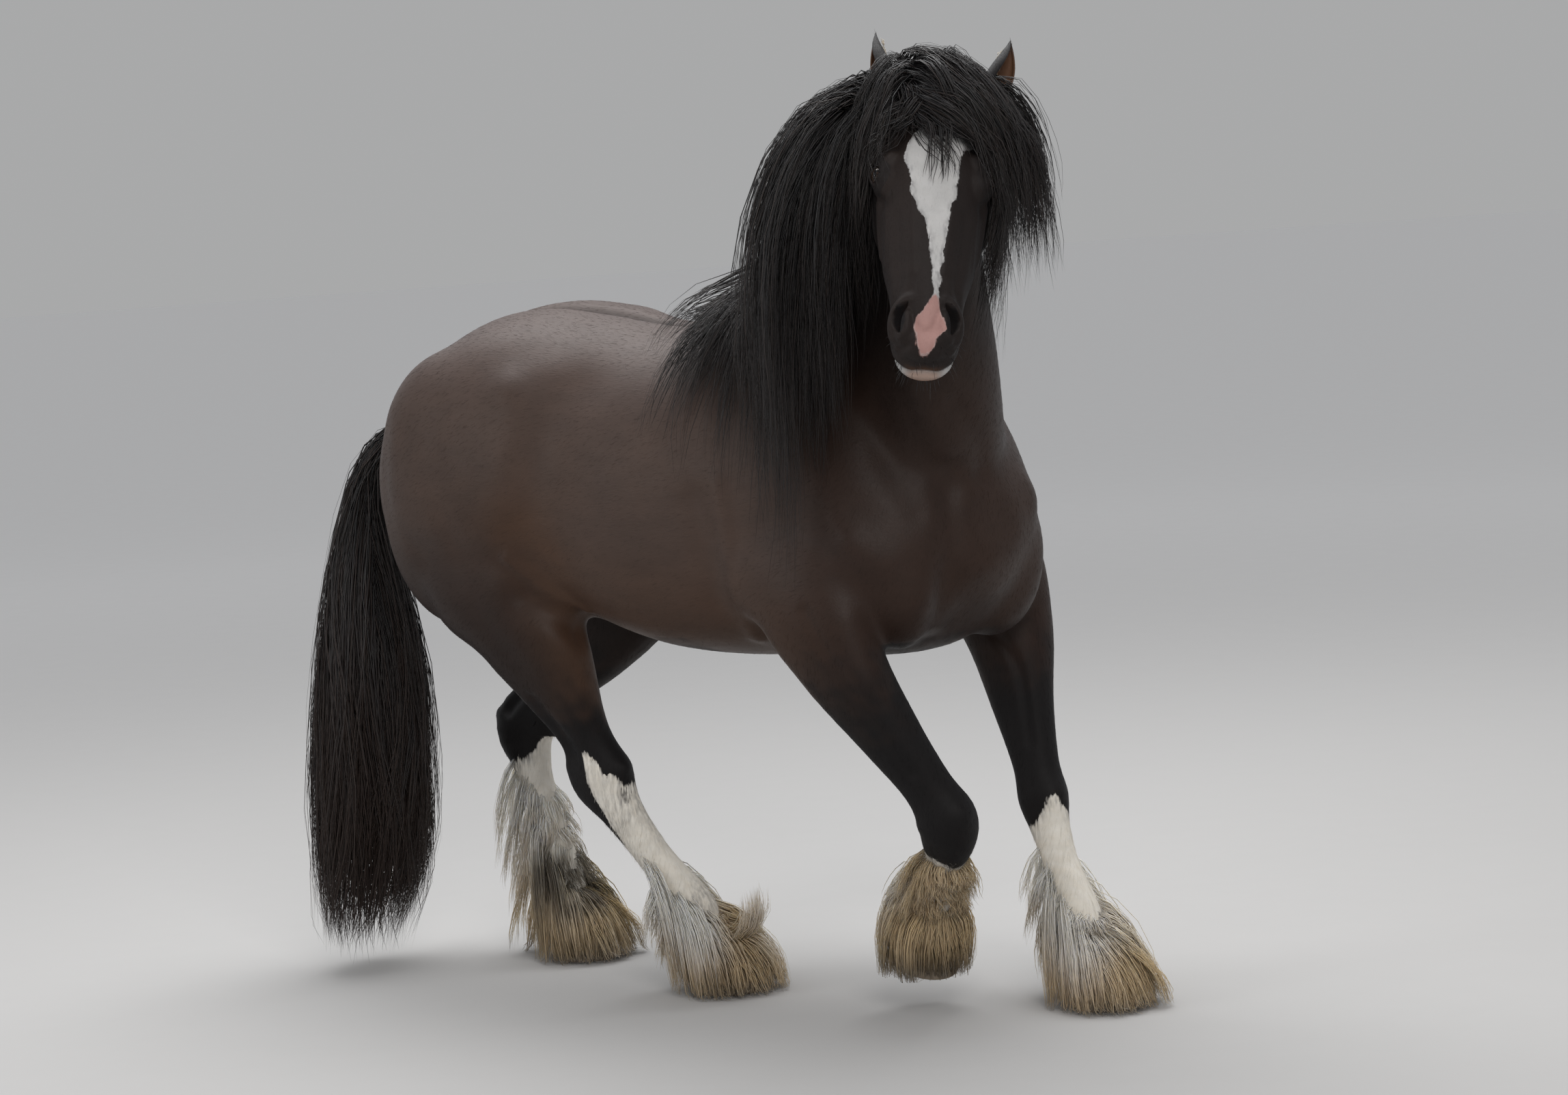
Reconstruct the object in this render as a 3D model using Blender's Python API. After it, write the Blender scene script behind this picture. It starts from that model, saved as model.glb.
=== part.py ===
# Gypsy vanner horse, a life-size still model that stands on three hooves.
# Metres, +X forward, +Y to the horse's left, +Z up; the floor is z = 0.
import bpy
import bmesh
import numpy as np
from math import cos, sin, pi, radians
from mathutils import Matrix, Vector
from mathutils.bvhtree import BVHTree
from random import Random

# Driving dimensions
GAP = 0.0003            # clearance between touching pieces
WITHERS = 1.50          # height of the withers
BODY_VOXEL = 0.012      # grid of the body's flesh
HEAD_VOXEL = 0.0042     # grid of the head's flesh
BODY_FACES = 3000       # triangles of the body before it is parted
HEAD_FACES = 1900       # triangles of the head
MANE_FACES = 2050       # triangles of the fused locks of the mane
FORELOCK_FACES = 480
TAIL_FACES = 1000
FEATHER_FACES = 520     # triangles of the fused locks of one leg
LEG_TOP = 0.722         # height at which the legs part from the trunk
HOOF_HEIGHT = 0.085
HOOF_TOP = 0.056        # hoof's radius at the coronet
HOOF_SOLE = 0.072       # hoof's radius at the sole
EYE_RADIUS = 0.0215
EAR_LENGTH = 0.182
HAIR_CLEARANCE = 0.003  # hair stays this far off a neighbour

# Spine: it runs straight behind BEND_START and ahead of BEND_END, and curves between them
BEND_START, BEND_END = -0.35, 0.50
REAR_HEADING, FRONT_HEADING = radians(8), radians(-10)

# Trunk stations: place along the spine, top, bottom, half width, height of the widest point
TRUNK = [
    (-0.855, 1.20, 1.04, 0.09, 1.12), (-0.80, 1.31, 0.95, 0.19, 1.12), (-0.70, 1.42, 0.88, 0.275, 1.12),
    (-0.55, 1.495, 0.85, 0.325, 1.12), (-0.40, 1.515, 0.85, 0.335, 1.10), (-0.25, 1.495, 0.81, 0.335, 1.05),
    (-0.05, 1.46, 0.755, 0.355, 1.03), (0.15, 1.455, 0.740, 0.34, 1.03), (0.35, WITHERS, 0.750, 0.31, 1.05),
    (0.50, 1.46, 0.750, 0.29, 1.05), (0.62, 1.34, 0.775, 0.27, 1.02), (0.72, 1.20, 0.87, 0.20, 1.01),
    (0.78, 1.10, 0.95, 0.10, 1.02),
]

# Neck stations: point on the crest, point on the throat side, half width
NECK = [
    ((0.20, 0.02, 1.40), (0.60, -0.03, 0.95), 0.20), ((0.34, 0.00, 1.50), (0.71, -0.08, 1.04), 0.19),
    ((0.50, -0.06, 1.66), (0.79, -0.17, 1.20), 0.145), ((0.67, -0.17, 1.82), (0.85, -0.28, 1.40), 0.110),
    ((0.82, -0.28, 1.895), (0.90, -0.35, 1.58), 0.085), ((0.91, -0.35, 1.89), (0.95, -0.385, 1.68), 0.065),
]

# Head frame: u runs down the face from the poll, v to the horse's left, w out of the forehead
POLL = Vector((0.900, -0.340, 1.886))
HEAD_HEADING = radians(-53.7)
HEAD_ROLL = radians(6.7)
FACE_TILT = radians(29)

# Head stations: place down the face, forehead side, throat side, half width
HEAD = [
    (-0.025, 0.020, -0.080, 0.045), (0.03, 0.056, -0.125, 0.078), (0.09, 0.077, -0.150, 0.096),
    (0.15, 0.088, -0.165, 0.104), (0.20, 0.090, -0.170, 0.102), (0.25, 0.087, -0.168, 0.088),
    (0.31, 0.081, -0.145, 0.074), (0.38, 0.073, -0.105, 0.063), (0.44, 0.065, -0.078, 0.060),
    (0.49, 0.054, -0.068, 0.064), (0.54, 0.034, -0.060, 0.058), (0.575, 0.010, -0.050, 0.044),
    (0.592, -0.010, -0.040, 0.024),
]

# Limb stations: centre, half width across, half width fore and aft
LEGS = {
    'fore_left': [
        ((0.45, 0.14, 1.16), 0.09, 0.17), ((0.525, 0.225, 0.92), 0.095, 0.145),
        ((0.575, 0.225, 0.76), 0.078, 0.098),
        ((0.61, 0.212, 0.62), 0.058, 0.072), ((0.645, 0.202, 0.49), 0.046, 0.054),
        ((0.662, 0.198, 0.415), 0.051, 0.057), ((0.682, 0.190, 0.350), 0.039, 0.046),
        ((0.712, 0.180, 0.275), 0.033, 0.042), ((0.757, 0.162, 0.180), 0.044, 0.053),
        ((0.785, 0.148, 0.130), 0.038, 0.046), ((0.815, 0.134, 0.088), 0.054, 0.058),
        ((0.826, 0.128, 0.070), 0.054, 0.058),
    ],
    'fore_right': [
        ((0.40, -0.17, 1.16), 0.09, 0.17), ((0.45, -0.272, 0.93), 0.095, 0.150),
        ((0.515, -0.275, 0.77), 0.080, 0.102),
        ((0.585, -0.225, 0.62), 0.060, 0.074), ((0.640, -0.175, 0.50), 0.049, 0.058),
        ((0.664, -0.150, 0.430), 0.060, 0.068), ((0.645, -0.126, 0.375), 0.050, 0.058),
        ((0.605, -0.095, 0.325), 0.033, 0.042), ((0.552, -0.062, 0.258), 0.044, 0.053),
        ((0.535, -0.054, 0.212), 0.038, 0.046), ((0.522, -0.048, 0.176), 0.054, 0.058),
        ((0.517, -0.046, 0.158), 0.054, 0.058),
    ],
    'hind_right': [
        ((-0.55, -0.12, 1.22), 0.12, 0.22), ((-0.46, -0.215, 0.99), 0.125, 0.225),
        ((-0.37, -0.25, 0.84), 0.100, 0.165),
        ((-0.32, -0.215, 0.69), 0.070, 0.105), ((-0.287, -0.178, 0.57), 0.050, 0.066),
        ((-0.265, -0.157, 0.480), 0.054, 0.086), ((-0.222, -0.146, 0.400), 0.041, 0.056),
        ((-0.160, -0.122, 0.300), 0.035, 0.046), ((-0.090, -0.090, 0.190), 0.046, 0.056),
        ((-0.070, -0.078, 0.140), 0.039, 0.048), ((-0.050, -0.068, 0.088), 0.054, 0.058),
        ((-0.042, -0.064, 0.070), 0.054, 0.058),
    ],
    'hind_left': [
        ((-0.60, 0.07, 1.22), 0.12, 0.22), ((-0.53, 0.165, 1.00), 0.125, 0.22),
        ((-0.49, 0.215, 0.86), 0.100, 0.165),
        ((-0.575, 0.195, 0.73), 0.072, 0.115), ((-0.675, 0.165, 0.62), 0.052, 0.072),
        ((-0.757, 0.142, 0.530), 0.055, 0.088), ((-0.745, 0.134, 0.440), 0.040, 0.052),
        ((-0.710, 0.124, 0.335), 0.035, 0.046), ((-0.660, 0.111, 0.195), 0.046, 0.056),
        ((-0.632, 0.108, 0.140), 0.039, 0.048), ((-0.610, 0.106, 0.088), 0.054, 0.058),
        ((-0.602, 0.105, 0.070), 0.054, 0.058),
    ],
}
JOINT_STATION = 5       # knee or hock

# Hooves: centre of the sole, the leg's heading, backward tilt of the hoof
HOOVES = {
    'fore_left': (Vector((0.842, 0.120, 0.0)), radians(-18), 0.0),
    'fore_right': (Vector((0.500, -0.038, 0.096)), radians(-25), radians(18)),
    'hind_right': (Vector((-0.028, -0.058, 0.0)), radians(12), 0.0),
    'hind_left': (Vector((-0.588, 0.105, 0.0)), radians(5), 0.0),
}

# Muscles: centre, radii, turn about X, Y and Z in degrees
MUSCLES = [
    ((0.40, 0.235, 1.16), (0.15, 0.075, 0.27), (8, 22, -8)),
    ((0.37, -0.245, 1.16), (0.15, 0.075, 0.27), (-8, 22, -8)),
    ((0.635, 0.090, 0.94), (0.13, 0.125, 0.19), (0, 0, -10)),
    ((0.605, -0.165, 0.94), (0.13, 0.125, 0.19), (0, 0, -10)),
    ((0.46, 0.235, 0.93), (0.13, 0.085, 0.12), (0, 0, 0)),
    ((0.40, -0.275, 0.93), (0.14, 0.085, 0.12), (0, 0, 0)),
    ((-0.60, 0.120, 1.20), (0.21, 0.16, 0.25), (0, 10, 8)),
    ((-0.56, -0.195, 1.20), (0.21, 0.16, 0.25), (0, 10, 8)),
    ((-0.67, 0.07, 1.04), (0.14, 0.13, 0.22), (0, -10, 8)),
    ((-0.63, -0.21, 1.04), (0.14, 0.13, 0.23), (0, -10, 8)),
]

COLOURS = {
    'bay coat': (0.055, 0.036, 0.030), 'black coat': (0.014, 0.012, 0.013),
    'white coat': (0.46, 0.44, 0.38),
    'black hair': (0.011, 0.010, 0.012), 'feather': (0.36, 0.30, 0.20), 'hoof horn': (0.20, 0.15, 0.10),
    'eye': (0.010, 0.006, 0.004), 'ear': (0.020, 0.016, 0.015),
}


def material(name, roughness):
    """One Principled material in the named colour."""
    made = bpy.data.materials.get(name)
    if made:
        return made
    made = bpy.data.materials.new(name)
    made.use_nodes = True
    shader = made.node_tree.nodes['Principled BSDF']
    shader.inputs['Base Color'].default_value = (*COLOURS[name], 1.0)
    shader.inputs['Roughness'].default_value = roughness
    shader.inputs['Metallic'].default_value = 0.0
    return made


def new_object(name, points, faces):
    mesh = bpy.data.meshes.new(name)
    mesh.from_pydata([tuple(p) for p in points], [], [tuple(f) for f in faces])
    mesh.update()
    made = bpy.data.objects.new(name, mesh)
    bpy.context.scene.collection.objects.link(made)
    return made


def remove(made):
    mesh = made.data
    bpy.data.objects.remove(made)
    bpy.data.meshes.remove(mesh)


def evaluated(made):
    """Replace an object's mesh by what its modifiers make of it."""
    graph = bpy.context.evaluated_depsgraph_get()
    result = bpy.data.meshes.new_from_object(made.evaluated_get(graph))
    old = made.data
    made.modifiers.clear()
    made.data = result
    bpy.data.meshes.remove(old)


def joined(name, pieces):
    """One mesh of all the pieces, still overlapping; the pieces are removed."""
    made = bpy.data.meshes.new(name)
    work = bmesh.new()
    for piece in pieces:
        work.from_mesh(piece.data)
        remove(piece)
    work.to_mesh(made)
    work.free()
    result = bpy.data.objects.new(name, made)
    bpy.context.scene.collection.objects.link(result)
    return result


def smooth_rows(rows, steps):
    """Catmull-Rom curve through rows of numbers, the same count of steps in each span."""
    rows = np.array(rows, float)
    ends = np.vstack([2 * rows[0] - rows[1], rows, 2 * rows[-1] - rows[-2]])
    made = []
    for k in range(len(rows) - 1):
        a, b, c, d = ends[k:k + 4]
        for t in np.arange(steps) / steps:
            made.append(0.5 * (2 * b + (c - a) * t + (2 * a - 5 * b + 4 * c - d) * t * t
                               + (3 * b - a - 3 * c + d) * t ** 3))
    made.append(rows[-1])
    return np.array(made)


def skin_rings(name, rings):
    """Closed solid through rings of points, its ends closed by one face each."""
    count = len(rings[0])
    faces = [tuple(reversed(range(count)))]
    for k in range(len(rings) - 1):
        for j in range(count):
            a, b = k * count + j, k * count + (j + 1) % count
            faces.append((a, b, b + count, a + count))
    last = (len(rings) - 1) * count
    faces.append(tuple(range(last, last + count)))
    made = new_object(name, [p for ring in rings for p in ring], faces)
    work = bmesh.new()
    work.from_mesh(made.data)
    if work.calc_volume(signed=True) < 0:
        bmesh.ops.reverse_faces(work, faces=work.faces[:])
    work.to_mesh(made.data)
    work.free()
    return made


def oval(centre, across, up, half_across, half_up, half_down, sides=24, power=0.9):
    """Egg-shaped ring with its own height above and below the centre."""
    ring = []
    for k in range(sides):
        c, s = cos(2 * pi * k / sides), sin(2 * pi * k / sides)
        x = half_across * np.sign(c) * abs(c) ** power
        y = (half_up if s > 0 else half_down) * np.sign(s) * abs(s) ** power
        ring.append(centre + across * x + up * y)
    return ring


def ball(centre, radii, turn=(0, 0, 0)):
    mesh = bpy.data.meshes.new('muscle')
    work = bmesh.new()
    place = Matrix.Translation(centre)
    for axis, degrees in zip('XYZ', turn):
        place = place @ Matrix.Rotation(radians(degrees), 4, axis)
    place = place @ Matrix.Diagonal((*radii, 1.0))
    bmesh.ops.create_uvsphere(work, u_segments=20, v_segments=12, radius=1.0, matrix=place)
    work.to_mesh(mesh)
    work.free()
    made = bpy.data.objects.new('muscle', mesh)
    bpy.context.scene.collection.objects.link(made)
    return made


def spine_table():
    """Places along the bent spine, with its heading at each."""
    along = np.linspace(-1.2, 1.2, 481)
    heading = np.interp(along, [BEND_START, BEND_END], [REAR_HEADING, FRONT_HEADING])
    step = along[1] - along[0]
    x = np.cumsum(np.cos(heading)) * step
    y = np.cumsum(np.sin(heading)) * step
    middle = len(along) // 2
    return along, heading, x - x[middle], y - y[middle]


def bent(spine, along, y, z):
    """Point beside the bent spine."""
    table, heading, xs, ys = spine
    a = np.interp(along, table, heading)
    return np.array([np.interp(along, table, xs) - y * sin(a), np.interp(along, table, ys) + y * cos(a), z])


def trunk_piece():
    spine = spine_table()
    rings = []
    for along, top, bottom, half, widest in smooth_rows(TRUNK, 4):
        ring = []
        for k in range(32):
            c, s = cos(2 * pi * k / 32), sin(2 * pi * k / 32)
            y = half * np.sign(c) * abs(c) ** 0.85
            z = widest + ((top - widest) * abs(s) ** 0.85 if s > 0 else (bottom - widest) * abs(s) ** 0.9)
            ring.append(bent(spine, along, y, z))
        rings.append(ring)
    return skin_rings('trunk', rings)


def neck_piece():
    rows = smooth_rows([(*crest, *throat, half) for crest, throat, half in NECK], 5)
    rings = []
    for k, row in enumerate(rows):
        crest, throat, half = row[:3], row[3:6], row[6]
        ahead, behind = rows[min(k + 1, len(rows) - 1)], rows[max(k - 1, 0)]
        run = (ahead[:3] + ahead[3:6]) - (behind[:3] + behind[3:6])
        up = (crest - throat) / np.linalg.norm(crest - throat)
        across = np.cross(up, run)
        across /= np.linalg.norm(across)
        tall = np.linalg.norm(crest - throat)
        rings.append(oval(throat + up * tall * 0.45, across, up, half, tall * 0.55, tall * 0.45))
    return skin_rings('neck', rings)


def leg_piece(leg):
    rows = smooth_rows([(*centre, across, fore) for centre, across, fore in LEGS[leg]], 3)
    rings = []
    for k, row in enumerate(rows):
        run = rows[min(k + 1, len(rows) - 1)][:3] - rows[max(k - 1, 0)][:3]
        run /= np.linalg.norm(run)
        fore = np.array([1.0, 0.0, 0.0]) - run * run[0]
        fore /= np.linalg.norm(fore)
        across = np.cross(fore, run)
        rings.append(oval(row[:3], across, fore, row[3], row[4], row[4], 20))
    return skin_rings(leg, rings)


def head_frame():
    """Matrix from the head's u, v, w to the world."""
    forward = Vector((cos(HEAD_HEADING), sin(HEAD_HEADING), 0))
    left = Vector((-sin(HEAD_HEADING), cos(HEAD_HEADING), 0))
    up = Vector((0, 0, 1)) * cos(HEAD_ROLL) + left * sin(HEAD_ROLL)
    left = left * cos(HEAD_ROLL) - Vector((0, 0, 1)) * sin(HEAD_ROLL)
    down_face = forward * sin(FACE_TILT) - up * cos(FACE_TILT)
    out = forward * cos(FACE_TILT) + up * sin(FACE_TILT)
    frame = Matrix((down_face, left, out)).transposed().to_4x4()
    frame.translation = POLL
    return frame


def head_loft():
    rings = []
    u, v, w = np.eye(3)
    for along, fore, back, half in smooth_rows(HEAD, 4):
        centre = u * along + w * (fore + back) * 0.5
        rings.append(oval(centre, v, w, half, (fore - back) * 0.5, (fore - back) * 0.5, 28, 0.82))
    return skin_rings('head', rings)


def lid(side, upper):
    """Rim of an eyelid: a bent tube over the eyeball."""
    eye = eye_centre(side)
    rings = []
    for k in range(9):
        turn = radians(-62 + 124 * k / 8)
        lift = cos(turn) * (0.62 if upper else -0.55)
        facing = np.array([-lift, side * 0.80 * cos(turn), 0.75 * cos(turn)])
        facing += sin(turn) * np.array([0.0, -side * 0.72, 0.70])
        facing /= np.linalg.norm(facing)
        thick = 0.0052 * cos(turn) ** 0.5 + 0.0015
        centre = eye + facing * (EYE_RADIUS + 0.0015)
        rings.append(oval(centre, facing, np.array([1.0, 0, 0]), thick, thick, thick, 8))
    return skin_rings('lid', rings)


def eye_centre(side):
    return np.array([0.207, side * 0.0965, 0.036])


def nostril(side, grow):
    radii = (0.027 + grow, 0.013 + grow, 0.017 + grow)
    return ball((0.478, side * 0.0460, 0.0350), radii, (0, -25, side * 18))


def head_pieces():
    """Overlapping pieces of the head's flesh, in its own frame."""
    pieces = [head_loft()]
    for side in (-1, 1):
        pieces += [
            ball((0.205, side * 0.060, -0.085), (0.115, 0.046, 0.085), (0, 12, 0)),
            ball((0.203, side * 0.080, 0.028), (0.038, 0.026, 0.030)),
            ball((0.172, side * 0.078, 0.046), (0.037, 0.024, 0.026)),
            ball((0.300, side * 0.060, -0.010), (0.085, 0.016, 0.018)),
            ball((0.115, side * 0.060, 0.040), (0.056, 0.034, 0.034)),
            nostril(side, 0.0075),
            lid(side, True), lid(side, False),
            ear_loft(side, 1.0, -0.030, 0.022),
        ]
    pieces += [
        ball((0.548, 0, -0.002), (0.046, 0.054, 0.044)), ball((0.500, 0, 0.020), (0.060, 0.042, 0.034)),
        ball((0.556, 0, -0.062), (0.040, 0.043, 0.026)), ball((0.530, 0, -0.078), (0.036, 0.034, 0.026)),
        ball((0.420, 0, 0.048), (0.110, 0.030, 0.022)),
    ]
    return pieces


def ear_frame(side):
    """Root, direction of the tip, direction across and direction of the cup's mouth."""
    tip = Vector((-1.0, side * 0.48, -0.28)).normalized()
    mouth = Vector((-0.10, side * 0.45, 1.0))
    mouth = (mouth - tip * mouth.dot(tip)).normalized()
    return Vector((0.028, side * 0.074, 0.008)), tip, tip.cross(mouth), mouth


def ear_loft(side, scale, start, stop, shift=0.0):
    """Leaf-shaped solid of the ear between two heights above its root."""
    root, tip, across, mouth = (np.array(v) for v in ear_frame(side))
    rings = []
    for k in range(9):
        height = start + (stop - start) * k / 8
        t = max(height, 0.0) / EAR_LENGTH
        wide = (0.027 + 0.075 * t * (1 - t) ** 1.1) * (1 - t ** 3.2) * scale + 0.0012
        lean = 0.030 * t * t
        centre = root + tip * height + mouth * (shift - lean * 0.4)
        rings.append(oval(centre, across, mouth, wide, wide * 0.72, wide * 0.80, 10, 1.0))
    return skin_rings('ear', rings)


def boolean(target, cutter, operation='DIFFERENCE'):
    """Apply one Boolean with a single object and remove that object."""
    triangulated(target.data)
    triangulated(cutter.data)
    modifier = target.modifiers.new('Boolean', 'BOOLEAN')
    modifier.operation = operation
    modifier.object = cutter
    modifier.solver = 'MANIFOLD'
    evaluated(target)
    remove(cutter)


def remeshed(made, voxel, relax):
    modifier = made.modifiers.new('Remesh', 'REMESH')
    modifier.mode = 'VOXEL'
    modifier.voxel_size = voxel
    evaluated(made)
    relaxed(made.data, relax)


def relaxed(mesh, rounds):
    """Taubin smoothing, which keeps the volume."""
    points = np.empty(len(mesh.vertices) * 3)
    mesh.vertices.foreach_get('co', points)
    points = points.reshape(-1, 3)
    edges = np.empty(len(mesh.edges) * 2, int)
    mesh.edges.foreach_get('vertices', edges)
    a, b = edges.reshape(-1, 2).T
    count = np.bincount(np.concatenate([a, b]), minlength=len(points))[:, None]
    for k in range(rounds * 2):
        total = np.zeros_like(points)
        np.add.at(total, a, points[b])
        np.add.at(total, b, points[a])
        points += (0.55 if k % 2 == 0 else -0.57) * (total / count - points)
    mesh.vertices.foreach_set('co', points.ravel())
    mesh.update()


def triangulated(mesh):
    """Triangles in an order that depends on the shape alone, so that each build is the same."""
    work = bmesh.new()
    work.from_mesh(mesh)
    slant = Vector((1.0, 3.7, 13.3))
    work.verts.sort(key=lambda vert: vert.co.dot(slant))
    work.faces.sort(key=lambda face: face.calc_center_median().dot(slant))
    work.edges.sort(key=lambda edge: (edge.verts[0].co + edge.verts[1].co).dot(slant))
    bmesh.ops.triangulate(work, faces=work.faces[:])
    work.to_mesh(mesh)
    work.free()


def thinned(made, faces):
    """Bring a mesh down to a count of triangles."""
    triangulated(made.data)
    modifier = made.modifiers.new('Decimate', 'DECIMATE')
    modifier.ratio = min(1.0, faces / len(made.data.polygons))
    evaluated(made)


def sliced(made, name, point, normal):
    """Copy of the part of a closed mesh that lies ahead of a plane, closed again."""
    work = bmesh.new()
    work.from_mesh(made.data)
    every = work.verts[:] + work.edges[:] + work.faces[:]
    normal = Vector(normal).normalized()
    bmesh.ops.bisect_plane(work, geom=every, plane_co=Vector(point) + normal * GAP * 0.5, plane_no=normal,
                           dist=1e-6, clear_inner=True)
    rim = [e for e in work.edges if e.is_boundary]
    caps = bmesh.ops.holes_fill(work, edges=rim, sides=0)['faces']
    bmesh.ops.triangulate(work, faces=caps)
    mesh = bpy.data.meshes.new(name)
    work.to_mesh(mesh)
    work.free()
    result = bpy.data.objects.new(name, mesh)
    bpy.context.scene.collection.objects.link(result)
    return result


def islands(made):
    """Points, faces and volume of each separate body of an object, the largest first."""
    work = bmesh.new()
    work.from_mesh(made.data)
    bmesh.ops.triangulate(work, faces=work.faces[:])
    body = {}
    for seed in work.verts:
        if seed in body:
            continue
        body[seed] = seed
        front = [seed]
        while front:
            for edge in front.pop().link_edges:
                for vert in edge.verts:
                    if vert not in body:
                        body[vert] = seed
                        front.append(vert)
    found = {}
    for face in work.faces:
        a, b, c = (vert.co for vert in face.verts)
        entry = found.setdefault(body[face.verts[0]], [[], {}, [], 0.0])
        for vert in face.verts:
            if vert not in entry[1]:
                entry[1][vert] = len(entry[0])
                entry[0].append(vert.co.copy())
        entry[2].append(tuple(entry[1][vert] for vert in face.verts))
        entry[3] += a.dot(b.cross(c)) / 6
    work.free()
    return sorted(((e[0], e[2], e[3]) for e in found.values()), key=lambda item: -item[2])


def largest(made):
    """Keep only an object's largest body."""
    points, faces, volume = islands(made)[0]
    mesh = bpy.data.meshes.new(made.name)
    mesh.from_pydata([tuple(p) for p in points], [], faces)
    mesh.update()
    old = made.data
    made.data = mesh
    bpy.data.meshes.remove(old)


def finished(made, name, colour, roughness):
    made.name = name
    made.data.name = name
    made.data.materials.clear()
    made.data.materials.append(material(colour, roughness))
    made.data.shade_smooth()
    made.data.set_sharp_from_angle(angle=radians(50))


def eye_ball(name, side, radius):
    mesh = bpy.data.meshes.new(name)
    work = bmesh.new()
    place = head_frame() @ Matrix.Translation(eye_centre(side))
    bmesh.ops.create_uvsphere(work, u_segments=12, v_segments=7, radius=radius, matrix=place)
    work.to_mesh(mesh)
    work.free()
    made = bpy.data.objects.new(name, mesh)
    bpy.context.scene.collection.objects.link(made)
    return made


def placed(made, frame):
    made.data.transform(frame)
    return made


def head_flesh():
    """The whole head in one mesh, with ear roots, lids, nostrils, lips and sockets."""
    head = joined('head', head_pieces())
    remeshed(head, HEAD_VOXEL, 3)
    for side in (-1, 1):
        boolean(head, nostril(side, 0.0))
    boolean(head, mouth_slit())
    thinned(head, HEAD_FACES)
    for side in (-1, 1):
        boolean(head, ear_clearing(side))
    placed(head, head_frame())
    for side in (-1, 1):
        boolean(head, eye_ball('socket', side, EYE_RADIUS + GAP))
    return head


def mouth_slit():
    """Thin wedge between the lips."""
    u, v, w = np.eye(3)
    rings = []
    for k in range(5):
        along = 0.470 + 0.150 * k / 4
        rings.append(oval(u * along + w * (-0.036 + 0.006 * k / 4), v, w, 0.085, 0.0024, 0.0024, 12, 0.6))
    return skin_rings('slit', rings)


def ear_clearing(side):
    """Block whose lower face is the plane on which the ear sits."""
    root, tip, across, mouth = (np.array(v) for v in ear_frame(side))
    rings = []
    for height in (0.010, 0.060):
        rings.append(oval(root + tip * height, across, mouth, 0.058, 0.058, 0.058, 4, 1.0))
    return skin_rings('clearing', rings)


def ear_node(side, name):
    """Ear above its root, hollowed from its mouth."""
    ear = ear_loft(side, 1.0, 0.010 + GAP, EAR_LENGTH)
    cup = ear_loft(side, 0.80, 0.022, EAR_LENGTH * 0.93, 0.0115)
    boolean(ear, cup)
    largest(ear)
    placed(ear, head_frame())
    finished(ear, name, 'ear', 0.75)
    return ear


def body_flesh():
    pieces = [trunk_piece(), neck_piece()]
    pieces += [leg_piece(leg) for leg in LEGS]
    pieces += [ball(*muscle) for muscle in MUSCLES]
    body = joined('body', pieces)
    remeshed(body, BODY_VOXEL, 7)
    thinned(body, BODY_FACES)
    return body


def hoof(leg, grow=0.0):
    """Hoof wall with a flat sole; grown, it is the space that the hair leaves round it."""
    sole, heading, tilt = HOOVES[leg]
    rings = []
    for radius, shift, height in ((HOOF_SOLE + grow, 0.0, 0.0), (HOOF_TOP + grow, -0.020, HOOF_HEIGHT)):
        ring = []
        for j in range(24):
            a = 2 * pi * j / 24
            stretch = 1.08 if cos(a) > 0 else 0.92
            ring.append((shift + radius * stretch * cos(a), radius * 0.95 * sin(a), height))
        rings.append(ring)
    if grow:
        rings[0] = [(x, y, -0.05) for x, y, z in rings[0]]
        rings[-1] = [(x, y, z + GAP) for x, y, z in rings[-1]]
    made = skin_rings('hoof', rings)
    place = Matrix.Translation(sole) @ Matrix.Rotation(heading, 4, 'Z') @ Matrix.Rotation(tilt, 4, 'Y')
    return placed(made, place)


def hoof_plane(leg):
    """Point and normal of the plane on which the hoof meets the leg."""
    sole, heading, tilt = HOOVES[leg]
    turn = Matrix.Rotation(heading, 4, 'Z') @ Matrix.Rotation(tilt, 4, 'Y')
    normal = (turn @ Vector((0, 0, 1))).normalized()
    return sole + normal * HOOF_HEIGHT, normal


def joint_plane(leg):
    """Point and downward normal of the cut through the knee or hock."""
    stations = [Vector(row[0]) for row in LEGS[leg]]
    point = stations[JOINT_STATION]
    run = stations[JOINT_STATION + 1] - stations[JOINT_STATION - 1]
    return point, run.normalized()


def parted_legs(body):
    """Upper and lower leg nodes, from the flesh below the trunk."""
    below = sliced(body, 'below', (0, 0, LEG_TOP), (0, 0, -1))
    nodes = {}
    for points, faces, volume in islands(below)[:4]:
        centre = sum(points, Vector()) / len(points)
        leg = min(LEGS, key=lambda name: (Vector(LEGS[name][JOINT_STATION][0]) - centre).length)
        whole = new_object(leg, points, faces)
        point, normal = joint_plane(leg)
        upper = sliced(whole, leg + '_upper', point, -normal)
        rest = sliced(whole, leg + '_lower', point, normal)
        lower = sliced(rest, leg + '_lower', *hoof_plane(leg))
        for spare in (whole, rest):
            remove(spare)
        nodes[leg] = (upper, lower)
    remove(below)
    return nodes


def surface_of(objects):
    """Tree of the triangles of several pieces, for the hair to lie on."""
    points, faces = [], []
    for made in objects:
        start = len(points)
        points += [v.co.copy() for v in made.data.vertices]
        faces += [tuple(start + k for k in face.vertices) for face in made.data.polygons]
    return BVHTree.FromPolygons(points, faces)


def fall(surface, root, heading, length, lift, weight, steps=8):
    """Path of hair that leaves its root, sinks under its weight and lies on what it meets."""
    path, point, heading = [Vector(root)], Vector(root), Vector(heading).normalized()
    for k in range(steps):
        heading = (heading + Vector((0, 0, -weight))).normalized()
        point = point + heading * length / steps
        place, normal = surface.find_nearest(point)[:2]
        if (point - place).dot(normal) < lift:
            point = place + normal * lift
        heading = (heading * 0.4 + (point - path[-1]).normalized() * 0.6).normalized()
        path.append(point)
    return path


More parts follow.
